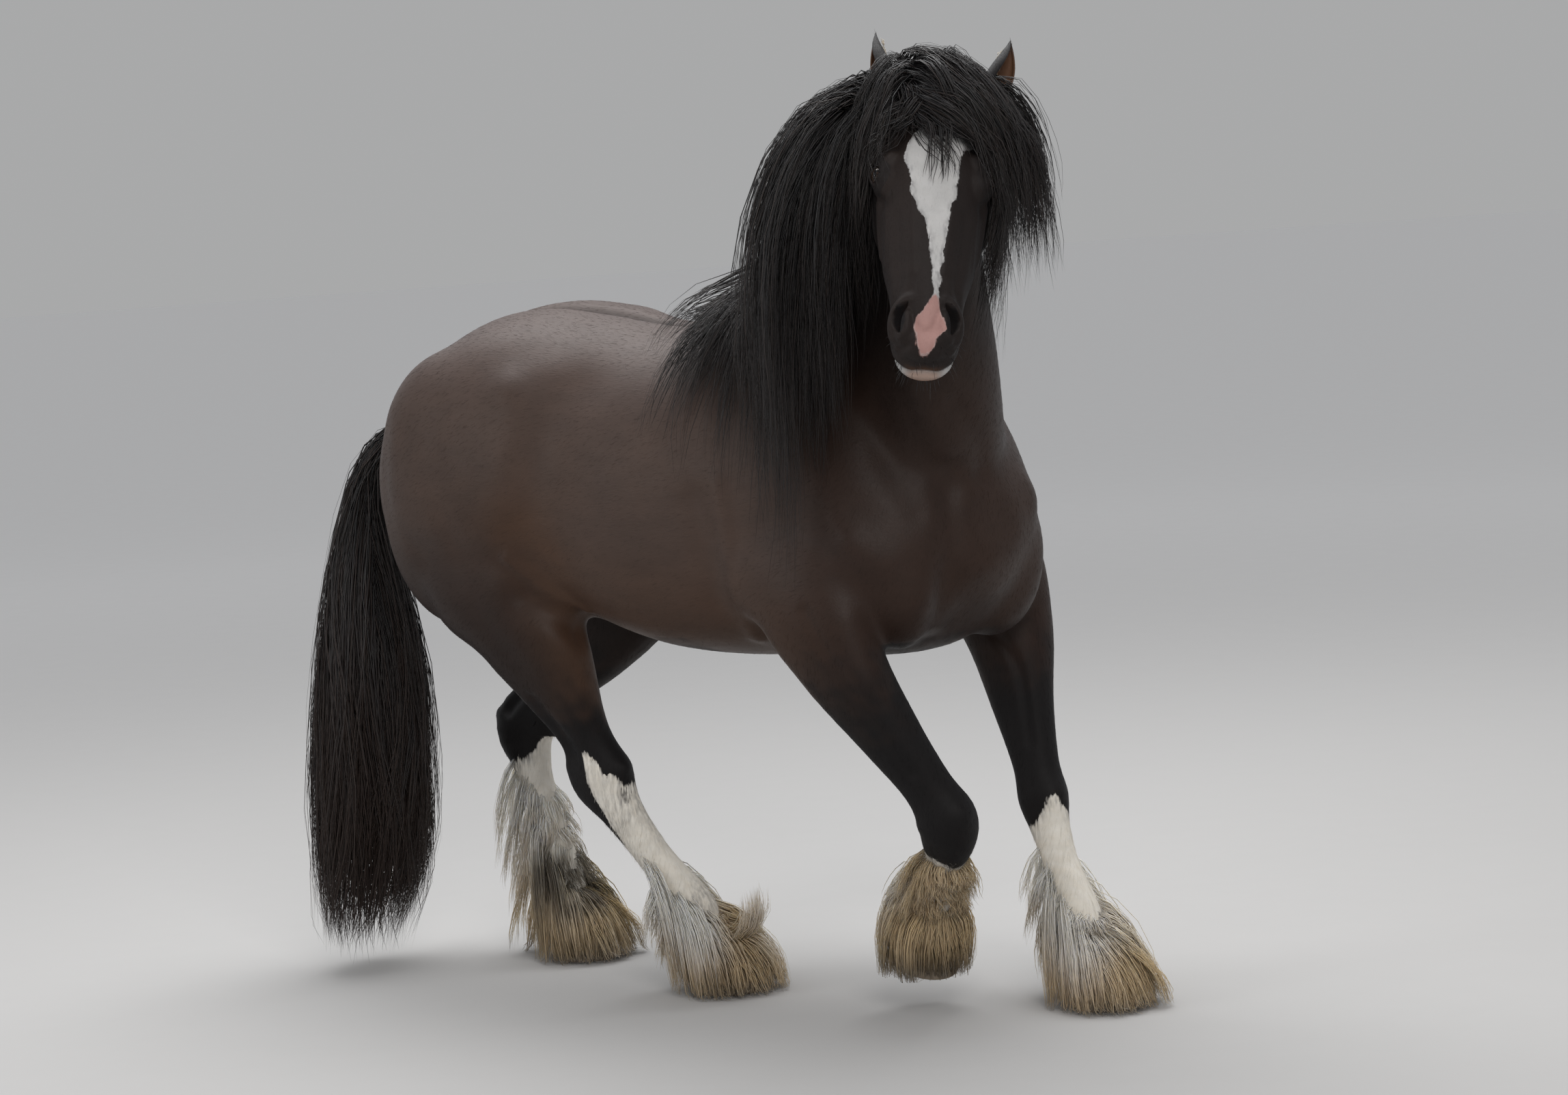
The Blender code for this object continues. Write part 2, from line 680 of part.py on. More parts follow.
def lock(path, outward, half_width, half_thick):
    """Flat tapered lock along a path, wider than thick, from a blunt root to a point."""
    last = len(path) - 1
    points, faces = [], [(0, 1, 2, 3)]
    for k, place in enumerate(path[:-1]):
        run = (path[k + 1] - path[max(k - 1, 0)]).normalized()
        out = outward[k] if isinstance(outward, list) else outward
        side = run.cross(out).normalized()
        out = side.cross(run).normalized()
        t = k / last
        share = min(1.0, 0.55 + 1.8 * t) * (1 - t ** 3.2) ** 0.8
        points += [place + side * half_width * share, place + out * half_thick * share,
                   place - side * half_width * share, place - out * half_thick * share]
    points.append(path[-1])
    for k in range(last - 1):
        for j in range(4):
            a, b = k * 4 + j, k * 4 + (j + 1) % 4
            faces.append((a, b, b + 4, a + 4))
    for j in range(4):
        faces.append(((last - 1) * 4 + j, (last - 1) * 4 + (j + 1) % 4, last * 4))
    made = new_object('lock', points, faces)
    work = bmesh.new()
    work.from_mesh(made.data)
    bmesh.ops.recalc_face_normals(work, faces=work.faces[:])
    bmesh.ops.triangulate(work, faces=work.faces[:])
    work.to_mesh(made.data)
    work.free()
    return made


def fused(target, pieces):
    """Unite a solid with a whole collection of pieces at once."""
    group = bpy.data.collections.new('pieces')
    for piece in pieces:
        group.objects.link(piece)
    modifier = target.modifiers.new('Boolean', 'BOOLEAN')
    modifier.operation = 'UNION'
    modifier.solver = 'MANIFOLD'
    modifier.operand_type = 'COLLECTION'
    modifier.collection = group
    evaluated(target)
    for piece in pieces:
        remove(piece)
    bpy.data.collections.remove(group)


def grow_hair(node, locks, neighbours, faces):
    """Fuse locks, cut them clear of the neighbours and unite them with the node they grow from."""
    hair = locks[0]
    fused(hair, locks[1:])
    thinned(hair, faces)
    for neighbour in neighbours:
        boolean(hair, grown(neighbour, HAIR_CLEARANCE))
    boolean(node, hair, 'UNION')
    largest(node)


def sampled(path, count):
    """Points at even steps along a path."""
    places = [k * (len(path) - 1) / (count - 1) for k in range(count)]
    made = []
    for place in places:
        k = min(int(place), len(path) - 2)
        made.append(path[k].lerp(path[k + 1], place - k))
    return made


def crest(t):
    """Point on the neck's crest, from the poll at 0 to the withers at 1."""
    rows = smooth_rows([row[0] for row in reversed(NECK[1:])], 12)
    place = t * (len(rows) - 1)
    k = min(int(place), len(rows) - 2)
    return Vector(rows[k] + (rows[k + 1] - rows[k]) * (place - k))


def neck_side(t, side):
    """Level direction out of the crest, to the left for +1 and the right for -1."""
    run = crest(min(t + 0.05, 1.0)) - crest(max(t - 0.05, 0.0))
    return Vector((run.y, -run.x, 0)).normalized() * side


# Mane layers: side, locks, length, first and last place on the crest,
# rise, weight, distance off the skin, half width
MANE = [
    (-1, 8, 0.50, 0.00, 0.96, 0.10, 0.80, 0.024, 0.074),
    (-1, 10, 0.80, 0.00, 0.94, 0.22, 0.75, 0.045, 0.066),
    (-1, 11, 0.97, 0.00, 1.00, 0.42, 0.58, 0.070, 0.058),
    (1, 5, 0.42, 0.00, 0.42, 0.10, 0.85, 0.024, 0.066),
    (1, 7, 0.56, 0.00, 0.34, 0.34, 0.64, 0.045, 0.060),
]


def mane_locks(surface):
    chance = Random(11)
    locks = []
    for side, count, reach, first, last, rise, weight, lift, half in MANE:
        for k in range(count):
            t = first + (last - first) * (k + 0.5 + chance.uniform(-0.3, 0.3)) / count
            out = neck_side(t, side)
            back = -0.05 - 0.8 * max(t - 0.62, 0) + chance.uniform(-0.18, 0.18)
            heading = out + Vector((back, 0, rise + chance.uniform(-0.1, 0.15)))
            root = crest(t) - Vector((0, 0, 0.045)) - out * 0.015
            length = reach * (1.0 - 0.40 * max(t - 0.5, 0) / 0.5) * chance.uniform(0.82, 1.05)
            path = fall(surface, root, heading, length, lift, weight * chance.uniform(0.85, 1.15), 10)
            locks.append(lock(sampled(path, 7), out, half * chance.uniform(0.85, 1.15), half * 0.22))
    return locks


def forelock_locks(surface):
    chance = Random(5)
    frame = head_frame()
    turn = frame.to_3x3()
    outward = turn @ Vector((0, 0, 1))
    locks = []
    for k in range(9):
        v = -0.040 + 0.080 * (k + 0.5) / 9
        sway = v * 16 + 0.35 + chance.uniform(-0.25, 0.25)
        root = frame @ Vector((0.022, v, 0.022))
        heading = turn @ Vector((-0.55, sway * 0.8, 0.9))
        length = chance.uniform(0.20, 0.33)
        path = fall(surface, root, heading, length, 0.012 + 0.010 * (k % 3), 0.60, 9)
        locks.append(lock(sampled(path, 6), outward, chance.uniform(0.020, 0.027), 0.007))
    return locks


# Tail stations: centre, half width across, half width fore and aft
TAIL = [
    ((-0.800, -0.085, 1.230), 0.026, 0.026), ((-0.880, -0.100, 1.215), 0.030, 0.030),
    ((-0.955, -0.110, 1.140), 0.040, 0.036), ((-0.985, -0.118, 1.000), 0.060, 0.052),
    ((-0.990, -0.122, 0.840), 0.110, 0.095), ((-0.992, -0.128, 0.650), 0.142, 0.120),
    ((-1.000, -0.135, 0.440), 0.156, 0.128), ((-1.012, -0.142, 0.240), 0.158, 0.125),
    ((-1.035, -0.150, 0.080), 0.130, 0.100), ((-1.060, -0.160, 0.015), 0.090, 0.070),
]


def tail_rows(steps):
    return smooth_rows([(*centre, across, fore) for centre, across, fore in TAIL], steps)


def tail_core():
    """Dock and inner hair of the tail, down to half its length."""
    rows = tail_rows(2)[:11]
    rings = []
    for k, row in enumerate(rows):
        run = rows[min(k + 1, len(rows) - 1)][:3] - rows[max(k - 1, 0)][:3]
        run /= np.linalg.norm(run)
        across = np.cross(run, [1.0, 0.0, 0.15])
        across /= np.linalg.norm(across)
        share = 1.0 if k < 6 else 1.0 - 0.16 * (k - 5)
        thick = row[4] * share
        rings.append(oval(row[:3], across, np.cross(across, run), row[3] * share, thick, thick, 12))
    return skin_rings('tail', rings)


def tail_locks():
    chance = Random(3)
    rows = tail_rows(4)
    last = len(rows) - 1
    locks = []
    for k in range(24):
        turn = 2 * pi * k * 0.382 + chance.uniform(-0.2, 0.2)
        start = 5 + (k % 5) * 3
        stop = last * chance.uniform(0.80, 1.0)
        path, outward = [], []
        phase = chance.uniform(0, 2 * pi)
        for j in range(7):
            place = start + (stop - start) * j / 6
            i = min(int(place), last - 1)
            row = rows[i] + (rows[i + 1] - rows[i]) * (place - i)
            spread = min(1.0, 0.45 + 0.20 * j) * (0.9 if k % 3 else 0.6)
            sway = turn + 0.16 * sin(phase + j * 1.3)
            floor = 0.035 if j < 6 else 0.010
            point = Vector(row[:3]) + Vector((cos(sway) * row[4], sin(sway) * row[3], 0)) * spread
            point.z = max(point.z + 0.02 * (6 - j) / 6, floor)
            path.append(point)
            outward.append(Vector((cos(sway), sin(sway), 0.05)))
        locks.append(lock(path, outward, chance.uniform(0.040, 0.056), 0.016))
    return locks


# Feather behind the cannon: locks, first and last station of the leg, share of the way round,
# length, half width
CANNON_FEATHER = (7, 5.5, 7.2, 0.45, 0.25, 0.040)
# Bell of feather round the hoof: locks, least and greatest radius of its rim, half width
BELL_FEATHER = (13, 0.104, 0.128, 0.034)


def feather_locks(leg, surface):
    """Locks behind the cannon and a full bell of them that falls over the hoof."""
    chance = Random(len(leg) * 7 + ord(leg[-2]))
    stations = smooth_rows([(*centre, across, fore) for centre, across, fore in LEGS[leg]], 3)

    def root_at(place, out):
        i = min(int(place * 3), len(stations) - 2)
        row = stations[i] + (stations[i + 1] - stations[i]) * (place * 3 - i)
        return Vector(row[:3]) + out * (row[3] - 0.014)

    sole, heading, tilt = HOOVES[leg]
    turn = Matrix.Rotation(heading, 3, 'Z')
    floor = max(sole.z - 0.03, 0.014)
    locks = []
    count, first, last, share, reach, half = CANNON_FEATHER
    for k in range(count):
        angle = pi + 2 * pi * share * ((k * 0.618) % 1.0 - 0.5)
        out = turn @ Vector((cos(angle), sin(angle), 0))
        root = root_at(first + (last - first) * (k + chance.random()) / count, out)
        aim = out * 0.30 + Vector((0, 0, -0.6))
        path = fall(surface, root, aim, reach * chance.uniform(0.85, 1.12), 0.010, 0.25, 8)
        for point in path:
            point.z = max(point.z, floor)
        locks.append(lock(sampled(path, 5), out, half * chance.uniform(0.85, 1.15), 0.008))
    count, near, far, half = BELL_FEATHER
    for k in range(count):
        angle = 2 * pi * (k + 0.5 + chance.uniform(-0.2, 0.2)) / count
        out = turn @ Vector((cos(angle), sin(angle), 0))
        root = root_at(8.1 + 1.1 * cos(angle), out)
        rim = sole + out * chance.uniform(near, far)
        rim.z = floor
        bulge = Vector((rim.x, rim.y, root.z - 0.025)).lerp(root, 0.15)
        path = []
        for j in range(5):
            t = j / 4
            path.append(root * (1 - t) ** 2 + bulge * 2 * t * (1 - t) + rim * t * t)
        locks.append(lock(path, out, half * chance.uniform(0.85, 1.15), 0.009))
    return locks


def grown(made, distance):
    """Copy of a solid with its surface moved out by a distance."""
    copy = bpy.data.objects.new('grown', made.data.copy())
    bpy.context.scene.collection.objects.link(copy)
    work = bmesh.new()
    work.from_mesh(copy.data)
    work.normal_update()
    moves = []
    for vert in work.verts:
        lean = min(max(vert.normal.dot(face.normal), 0.35) for face in vert.link_faces)
        moves.append(vert.normal * distance / lean)
    for vert, move in zip(work.verts, moves):
        vert.co += move
    work.to_mesh(copy.data)
    work.free()
    return copy


NECK_CUT = (Vector((0.52, -0.04, 1.36)), Vector((0.52, -0.20, 0.83)))


def head_cut():
    """Plane behind the jaw, in the world."""
    frame = head_frame()
    point = frame @ Vector((-0.045, 0, -0.020))
    return point, (frame.to_3x3() @ Vector((0.50, 0, 0.866))).normalized()


def centre():
    """Move the whole model so that its box is centred over the origin."""
    points = [v.co for made in bpy.data.objects for v in made.data.vertices]
    middle = [(min(p[k] for p in points) + max(p[k] for p in points)) / 2 for k in (0, 1)]
    for made in bpy.data.objects:
        made.data.transform(Matrix.Translation((-middle[0], -middle[1], 0)))


def main():
    for old in list(bpy.data.objects):
        bpy.data.objects.remove(old)
    body = body_flesh()
    legs = parted_legs(body)
    above = sliced(body, 'above', (0, 0, LEG_TOP), (0, 0, 1))
    torso = sliced(above, 'torso', NECK_CUT[0], -NECK_CUT[1])
    rest = sliced(above, 'neck', *NECK_CUT)
    point, normal = head_cut()
    neck = sliced(rest, 'neck', point, -normal)
    whole_head = head_flesh()
    head = sliced(whole_head, 'head', point, normal)
    for spare in (body, above, rest, whole_head):
        remove(spare)
    for made in (torso, neck, head):
        largest(made)
    finished(torso, 'torso', 'bay coat', 0.55)
    finished(neck, 'neck', 'bay coat', 0.6)
    finished(head, 'head', 'black coat', 0.6)
    for leg, (upper, lower) in legs.items():
        largest(upper)
        largest(lower)
        finished(upper, leg + '_upper', 'black coat', 0.6)
        finished(lower, leg + '_lower', 'white coat', 0.7)
        finished(hoof(leg), leg + '_hoof', 'hoof horn', 0.5)
    ears, eyes = [], []
    for side, word in ((-1, 'right'), (1, 'left')):
        ears.append(ear_node(side, 'ear_' + word))
        eyes.append(eye_ball('eye', side, EYE_RADIUS))
        finished(eyes[-1], 'eye_' + word, 'eye', 0.1)
    surface = surface_of([head, neck])
    grow_hair(head, forelock_locks(surface), [neck] + ears + eyes, FORELOCK_FACES)
    surface = surface_of([torso, neck, head] + ears)
    grow_hair(neck, mane_locks(surface), [torso, head] + ears, MANE_FACES)
    tail = tail_core()
    boolean(tail, grown(torso, GAP))
    grow_hair(tail, tail_locks(), [torso], TAIL_FACES)
    finished(tail, 'tail', 'black hair', 0.5)
    for leg, (upper, lower) in legs.items():
        hoof_space = hoof(leg, HAIR_CLEARANCE)
        surface = surface_of([lower, hoof_space])
        remove(hoof_space)
        neighbours = [bpy.data.objects[leg + '_hoof'], upper]
        grow_hair(lower, feather_locks(leg, surface), neighbours, FEATHER_FACES)
    centre()


main()
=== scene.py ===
from contextlib import contextmanager
from math import cos, sin, pi, radians

import bmesh
import bpy
import numpy as np
from mathutils import Matrix, Vector
from mathutils.bvhtree import BVHTree


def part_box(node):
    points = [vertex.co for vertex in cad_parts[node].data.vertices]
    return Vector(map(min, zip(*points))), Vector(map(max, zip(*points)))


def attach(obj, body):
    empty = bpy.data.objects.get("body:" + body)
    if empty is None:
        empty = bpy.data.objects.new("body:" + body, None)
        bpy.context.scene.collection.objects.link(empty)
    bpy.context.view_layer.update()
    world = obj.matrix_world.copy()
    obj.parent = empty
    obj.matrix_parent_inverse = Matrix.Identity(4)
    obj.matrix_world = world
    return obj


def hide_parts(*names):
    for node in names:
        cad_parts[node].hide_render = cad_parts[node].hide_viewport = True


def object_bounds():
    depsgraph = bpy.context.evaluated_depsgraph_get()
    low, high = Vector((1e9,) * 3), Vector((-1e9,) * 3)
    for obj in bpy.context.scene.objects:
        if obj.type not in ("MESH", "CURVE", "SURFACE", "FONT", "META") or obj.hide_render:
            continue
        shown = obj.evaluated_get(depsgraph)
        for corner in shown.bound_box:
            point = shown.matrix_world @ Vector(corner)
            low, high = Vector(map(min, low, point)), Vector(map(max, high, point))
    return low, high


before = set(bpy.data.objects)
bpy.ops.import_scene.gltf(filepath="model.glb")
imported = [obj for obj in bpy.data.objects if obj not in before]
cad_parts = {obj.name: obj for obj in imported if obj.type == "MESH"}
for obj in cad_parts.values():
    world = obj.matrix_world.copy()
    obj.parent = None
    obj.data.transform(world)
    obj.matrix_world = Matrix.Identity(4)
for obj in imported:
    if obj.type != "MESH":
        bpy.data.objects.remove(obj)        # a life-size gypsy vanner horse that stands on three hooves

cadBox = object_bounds()
root = "root"
sides = {-1: "right", 1: "left"}

# where the head is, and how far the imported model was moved

headPlace = {"poll": (0.900, -0.340, 1.886), "heading": -53.7, "roll": 6.7, "faceTilt": 29.0}
packedEye = (0.207, 0.0965, 0.036)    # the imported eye's centre in the head's own axes


def headMatrix():
    # u runs down the face from the poll, v to the horse's left, w out of the forehead
    heading, roll, tilt = (radians(headPlace[k]) for k in ("heading", "roll", "faceTilt"))
    forward = Vector((cos(heading), sin(heading), 0))
    left = Vector((-sin(heading), cos(heading), 0))
    up = Vector((0, 0, 1)) * cos(roll) + left * sin(roll)
    left = left * cos(roll) - Vector((0, 0, 1)) * sin(roll)
    downFace = forward * sin(tilt) - up * cos(tilt)
    out = forward * cos(tilt) + up * sin(tilt)
    matrix = Matrix((downFace, left, out)).transposed().to_4x4()
    matrix.translation = headPlace["poll"]
    return matrix


headFrame = headMatrix()
eyeLow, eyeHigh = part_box("eye_left")
moved = (Vector(eyeLow) + Vector(eyeHigh)) / 2 - headFrame @ Vector(packedEye)
moved.z = 0.0
print("model moved by", tuple(round(x, 4) for x in moved))


# mesh helpers

def metres(sizes):
    # the tables of places and half widths are in millimetres
    if isinstance(sizes, dict):
        return {key: metres(value) for key, value in sizes.items()}
    if isinstance(sizes, (list, tuple)):
        return type(sizes)(metres(value) for value in sizes)
    return round(sizes / 1000, 7)


def newObject(name, mesh):
    made = bpy.data.objects.new(name, mesh)
    bpy.context.scene.collection.objects.link(made)
    return made


def drop(made):
    mesh = made.data
    bpy.data.objects.remove(made)
    bpy.data.meshes.remove(mesh)


def applyModifiers(made):
    graph = bpy.context.evaluated_depsgraph_get()
    result = bpy.data.meshes.new_from_object(made.evaluated_get(graph))
    old = made.data
    made.modifiers.clear()
    made.data = result
    bpy.data.meshes.remove(old)


def modified(made, *steps):
    for kind, settings in steps:
        modifier = made.modifiers.new(kind.title(), kind)
        for key, value in settings.items():
            setattr(modifier, key, value)
    applyModifiers(made)


@contextmanager
def editing(mesh):
    work = bmesh.new()
    work.from_mesh(mesh)
    yield work
    work.to_mesh(mesh)
    work.free()


def meshFromArrays(name, points, quads, tris=None):
    tris = np.zeros((0, 3), int) if tris is None else tris
    mesh = bpy.data.meshes.new(name)
    mesh.vertices.add(len(points))
    mesh.vertices.foreach_set("co", np.ascontiguousarray(points, dtype=np.float32).ravel())
    corners = np.concatenate([quads.ravel(), tris.ravel()]).astype(np.int32)
    counts = np.concatenate([np.full(len(quads), 4), np.full(len(tris), 3)])
    mesh.loops.add(len(corners))
    mesh.loops.foreach_set("vertex_index", corners)
    mesh.polygons.add(len(counts))
    mesh.polygons.foreach_set("loop_start", np.concatenate([[0], np.cumsum(counts)[:-1]]).astype(np.int32))
    mesh.update(calc_edges=True)
    mesh.validate()
    return mesh


def readArray(things, key, width, kind=np.float32):
    values = np.empty(len(things) * width, kind)
    things.foreach_get(key, values)
    return values.reshape(-1, width)


def meshPoints(mesh):
    return readArray(mesh.vertices, "co", 3).astype(float)


def vertexNormals(mesh):
    return readArray(mesh.vertices, "normal", 3).astype(float)


def movePoints(mesh, points):
    mesh.vertices.foreach_set("co", points.astype(np.float32).ravel())
    mesh.update()


def surfaceOf(mesh):
    return BVHTree.FromPolygons([v.co.copy() for v in mesh.vertices],
                                [tuple(p.vertices) for p in mesh.polygons])


def unit(arrows):
    return arrows / np.maximum(np.linalg.norm(arrows, axis=-1, keepdims=True), 1e-9)


def setAttribute(mesh, name, values, kind="FLOAT", domain="POINT"):
    made = mesh.attributes.get(name) or mesh.attributes.new(name, kind, domain)
    key = "vector" if kind == "FLOAT_VECTOR" else "value"
    made.data.foreach_set(key, np.ascontiguousarray(values, dtype=np.float32).ravel())


def smoothRows(rows, steps):
    # Catmull-Rom curve through rows of numbers
    rows = np.array(rows, float)
    ends = np.vstack([2 * rows[0] - rows[1], rows, 2 * rows[-1] - rows[-2]])
    made = []
    for k in range(len(rows) - 1):
        a, b, c, d = ends[k:k + 4]
        for t in np.arange(steps) / steps:
            made.append(0.5 * (2 * b + (c - a) * t + (2 * a - 5 * b + 4 * c - d) * t * t
                               + (3 * b - a - 3 * c + d) * t ** 3))
    made.append(rows[-1])
    return np.array(made)


def faceOutwards(mesh):
    with editing(mesh) as work:
        if work.calc_volume(signed=True) < 0:
            bmesh.ops.reverse_faces(work, faces=work.faces[:])


def skinRings(name, rings):
    count = len(rings[0])
    points = np.array([p for ring in rings for p in ring], float)
    faces = [tuple(reversed(range(count)))]
    for k in range(len(rings) - 1):
        for j in range(count):
            a, b = k * count + j, k * count + (j + 1) % count
            faces.append((a, b, b + count, a + count))
    last = (len(rings) - 1) * count
    faces.append(tuple(range(last, last + count)))
    mesh = bpy.data.meshes.new(name)
    mesh.from_pydata([tuple(p) for p in points], [], faces)
    faceOutwards(mesh)
    return newObject(name, mesh)


def ovalRing(centre, across, up, halfAcross, halfUp, halfDown, sides=32, power=0.9):
    turn = 2 * pi * np.arange(sides) / sides
    c, s = np.cos(turn), np.sin(turn)
    x = halfAcross * np.sign(c) * np.abs(c) ** power
    y = np.where(s > 0, halfUp, halfDown) * np.sign(s) * np.abs(s) ** power
    return np.asarray(centre) + x[:, None] * np.asarray(across) + y[:, None] * np.asarray(up)


def ball(centre, radii, turn=(0, 0, 0), segments=32):
    mesh = bpy.data.meshes.new("ball")
    place = Matrix.Translation(centre)
    for axis, degrees in zip("XYZ", turn):
        place = place @ Matrix.Rotation(radians(degrees), 4, axis)
    place = place @ Matrix.Diagonal((*radii, 1.0))
    with editing(mesh) as work:
        bmesh.ops.create_uvsphere(work, u_segments=segments, v_segments=segments // 2, radius=1.0,
                                  matrix=place)
    return newObject("ball", mesh)


def inHead(made):
    made.data.transform(headFrame)
    return made


def joined(name, pieces):
    mesh = bpy.data.meshes.new(name)
    with editing(mesh) as work:
        for piece in pieces:
            work.from_mesh(piece.data)
            drop(piece)
    return newObject(name, mesh)


def cut(target, cutter):
    modified(target, ("BOOLEAN", {"operation": "DIFFERENCE", "solver": "MANIFOLD", "object": cutter}))
    drop(cutter)


def relaxed(mesh, rounds, weight, shrink=False):
    # smooths a mesh; unless it may shrink, every second step grows it back
    points = meshPoints(mesh)
    a, b = readArray(mesh.edges, "vertices", 2, np.int32).T
    both, other = np.concatenate([a, b]), np.concatenate([b, a])
    count = np.bincount(both, minlength=len(points))
    share = weight(points)
    for k in range(rounds if shrink else rounds * 2):
        step = 0.5 if shrink else (0.55, -0.57)[k % 2]
        for axis in range(3):
            total = np.bincount(both, weights=points[other, axis], minlength=len(points))
            points[:, axis] += step * share * (total / count - points[:, axis])
    movePoints(mesh, points)


def softStep(low, high, x):
    t = np.clip((np.asarray(x) - low) / (high - low), 0, 1)
    return t * t * (3 - 2 * t)


def waves(points, scale, seed, count=14):
    # smooth random field made of sine waves, about -1 to 1
    chance = np.random.default_rng(seed)
    aim = chance.normal(size=(count, 3))
    aim /= np.linalg.norm(aim, axis=1)[:, None]
    aim *= scale * chance.uniform(0.6, 1.7, size=(count, 1))
    phase = chance.uniform(0, 2 * pi, count)
    return np.sin(points @ aim.T + phase).sum(1) / (count * 0.5) ** 0.5 * 0.7


# flesh of the body

fleshSizes = {
    "voxel": 0.0042,
    "softRounds": 40,     # rounds of smoothing on neck and legs
    "blendRounds": 170,   # rounds that melt the big muscles together
    "headRounds": 5,                               # rounds on the head, which keeps its detail
    "faces": 180000,
    "coatDepth": 0.0035,                           # the skin lies this far inside the coat's surface
    "bendStart": -0.35, "bendEnd": 0.50, "rearHeading": 8.0, "frontHeading": -10.0,
}

trunkStations = metres([   # place along the spine, top, bottom, half width, height of the widest point
    (-855, 1200, 1040, 90, 1120), (-800, 1310, 950, 190, 1120), (-700, 1420, 880, 275, 1120),
    (-550, 1495, 850, 325, 1120), (-400, 1515, 850, 335, 1100), (-250, 1495, 810, 335, 1050),
    (-50, 1460, 755, 355, 1030), (150, 1455, 740, 340, 1030), (350, 1500, 750, 310, 1050),
    (500, 1460, 750, 290, 1050), (620, 1340, 775, 270, 1020), (720, 1200, 870, 200, 1010),
    (780, 1100, 950, 100, 1020),
])

neckStations = metres([    # point on the crest, point on the throat side, half width
    ((200, 20, 1400), (600, -30, 950), 200), ((340, 0, 1500), (710, -80, 1040), 190),
    ((500, -60, 1660), (790, -170, 1200), 145), ((670, -170, 1820), (850, -280, 1400), 110),
    ((820, -280, 1895), (900, -350, 1580), 85), ((910, -350, 1890), (950, -385, 1680), 65),
])

headStations = metres([    # place down the face, forehead side, throat side, half width
    (-25, 20, -80, 45), (30, 56, -125, 80), (90, 77, -150, 100),
    (150, 88, -165, 112), (200, 90, -170, 114), (250, 87, -168, 106),
    (310, 81, -145, 98), (380, 73, -105, 86), (440, 65, -78, 72),
    (490, 52, -68, 67), (530, 34, -62, 63), (560, 12, -54, 53),
    (580, -10, -42, 32),
])

legStations = metres({     # centre, half width across, half width fore and aft
    "fore_left": [
        ((450, 140, 1160), 90, 170), ((525, 225, 920), 95, 145),
        ((578, 228, 770), 85, 104), ((612, 214, 620), 59, 74),
        ((645, 202, 490), 46, 54), ((662, 198, 415), 51, 57),
        ((682, 190, 350), 39, 46), ((712, 180, 275), 33, 42),
        ((757, 162, 180), 44, 53), ((785, 148, 130), 38, 46),
        ((815, 134, 88), 54, 58), ((826, 128, 70), 54, 58),
    ],
    "fore_right": [
        ((400, -170, 1160), 90, 170), ((450, -272, 930), 95, 150),
        ((515, -275, 770), 80, 102), ((585, -225, 620), 60, 74),
        ((640, -175, 500), 49, 58), ((664, -150, 430), 60, 68),
        ((645, -126, 375), 50, 58), ((605, -95, 325), 33, 42),
        ((552, -62, 258), 44, 53), ((535, -54, 212), 38, 46),
        ((522, -48, 176), 54, 58), ((517, -46, 158), 54, 58),
    ],
    "hind_right": [
        ((-550, -120, 1220), 120, 220), ((-460, -215, 990), 125, 225),
        ((-370, -250, 840), 100, 165), ((-320, -215, 690), 70, 105),
        ((-287, -178, 570), 50, 66), ((-265, -157, 480), 54, 86),
        ((-222, -146, 400), 41, 56), ((-160, -122, 300), 35, 46),
        ((-90, -90, 190), 46, 56), ((-70, -78, 140), 39, 48),
        ((-50, -68, 88), 54, 58), ((-42, -64, 70), 54, 58),
    ],
    "hind_left": [
        ((-600, 70, 1220), 120, 220), ((-530, 165, 1000), 125, 220),
        ((-490, 215, 860), 100, 165), ((-575, 195, 730), 72, 115),
        ((-675, 165, 620), 52, 72), ((-757, 142, 530), 55, 88),
        ((-745, 134, 440), 40, 52), ((-710, 124, 335), 35, 46),
        ((-660, 111, 195), 46, 56), ((-632, 108, 140), 39, 48),
        ((-610, 106, 88), 54, 58), ((-602, 105, 70), 54, 58),
    ],
})

hoofPlaces = {      # centre of the sole, the leg's heading, backward tilt of the hoof, in degrees
    "fore_left": ((0.842, 0.120, 0.0), -18, 0), "fore_right": ((0.500, -0.038, 0.096), -25, 18),
    "hind_right": ((-0.028, -0.058, 0.0), 12, 0), "hind_left": ((-0.588, 0.105, 0.0), 5, 0),
}

muscles = [         # centre, radii, turn about X, Y and Z in degrees
    ((0.40, 0.235, 1.16), (0.15, 0.075, 0.27), (8, 22, -8)),
    ((0.37, -0.245, 1.16), (0.15, 0.075, 0.27), (-8, 22, -8)),
    ((0.625, 0.098, 0.955), (0.13, 0.125, 0.185), (0, 0, -10)),
    ((0.600, -0.165, 0.955), (0.13, 0.125, 0.180), (0, 0, -10)),
    ((0.46, 0.235, 0.93), (0.13, 0.085, 0.12), (0, 0, 0)),
    ((0.40, -0.275, 0.93), (0.14, 0.085, 0.12), (0, 0, 0)),
    ((-0.60, 0.120, 1.20), (0.21, 0.16, 0.25), (0, 10, 8)),
    ((-0.56, -0.195, 1.20), (0.21, 0.16, 0.25), (0, 10, 8)),
    ((-0.67, 0.07, 1.04), (0.14, 0.13, 0.22), (0, -10, 8)),
    ((-0.63, -0.21, 1.04), (0.14, 0.13, 0.23), (0, -10, 8)),
]


def bentSpine():
    along = np.linspace(-1.2, 1.2, 481)
    heading = np.interp(along, [fleshSizes["bendStart"], fleshSizes["bendEnd"]],
                        np.radians([fleshSizes["rearHeading"], fleshSizes["frontHeading"]]))
    step = along[1] - along[0]
    x, y = np.cumsum(np.cos(heading)) * step, np.cumsum(np.sin(heading)) * step
    middle = len(along) // 2
    return along, heading, x - x[middle], y - y[middle]


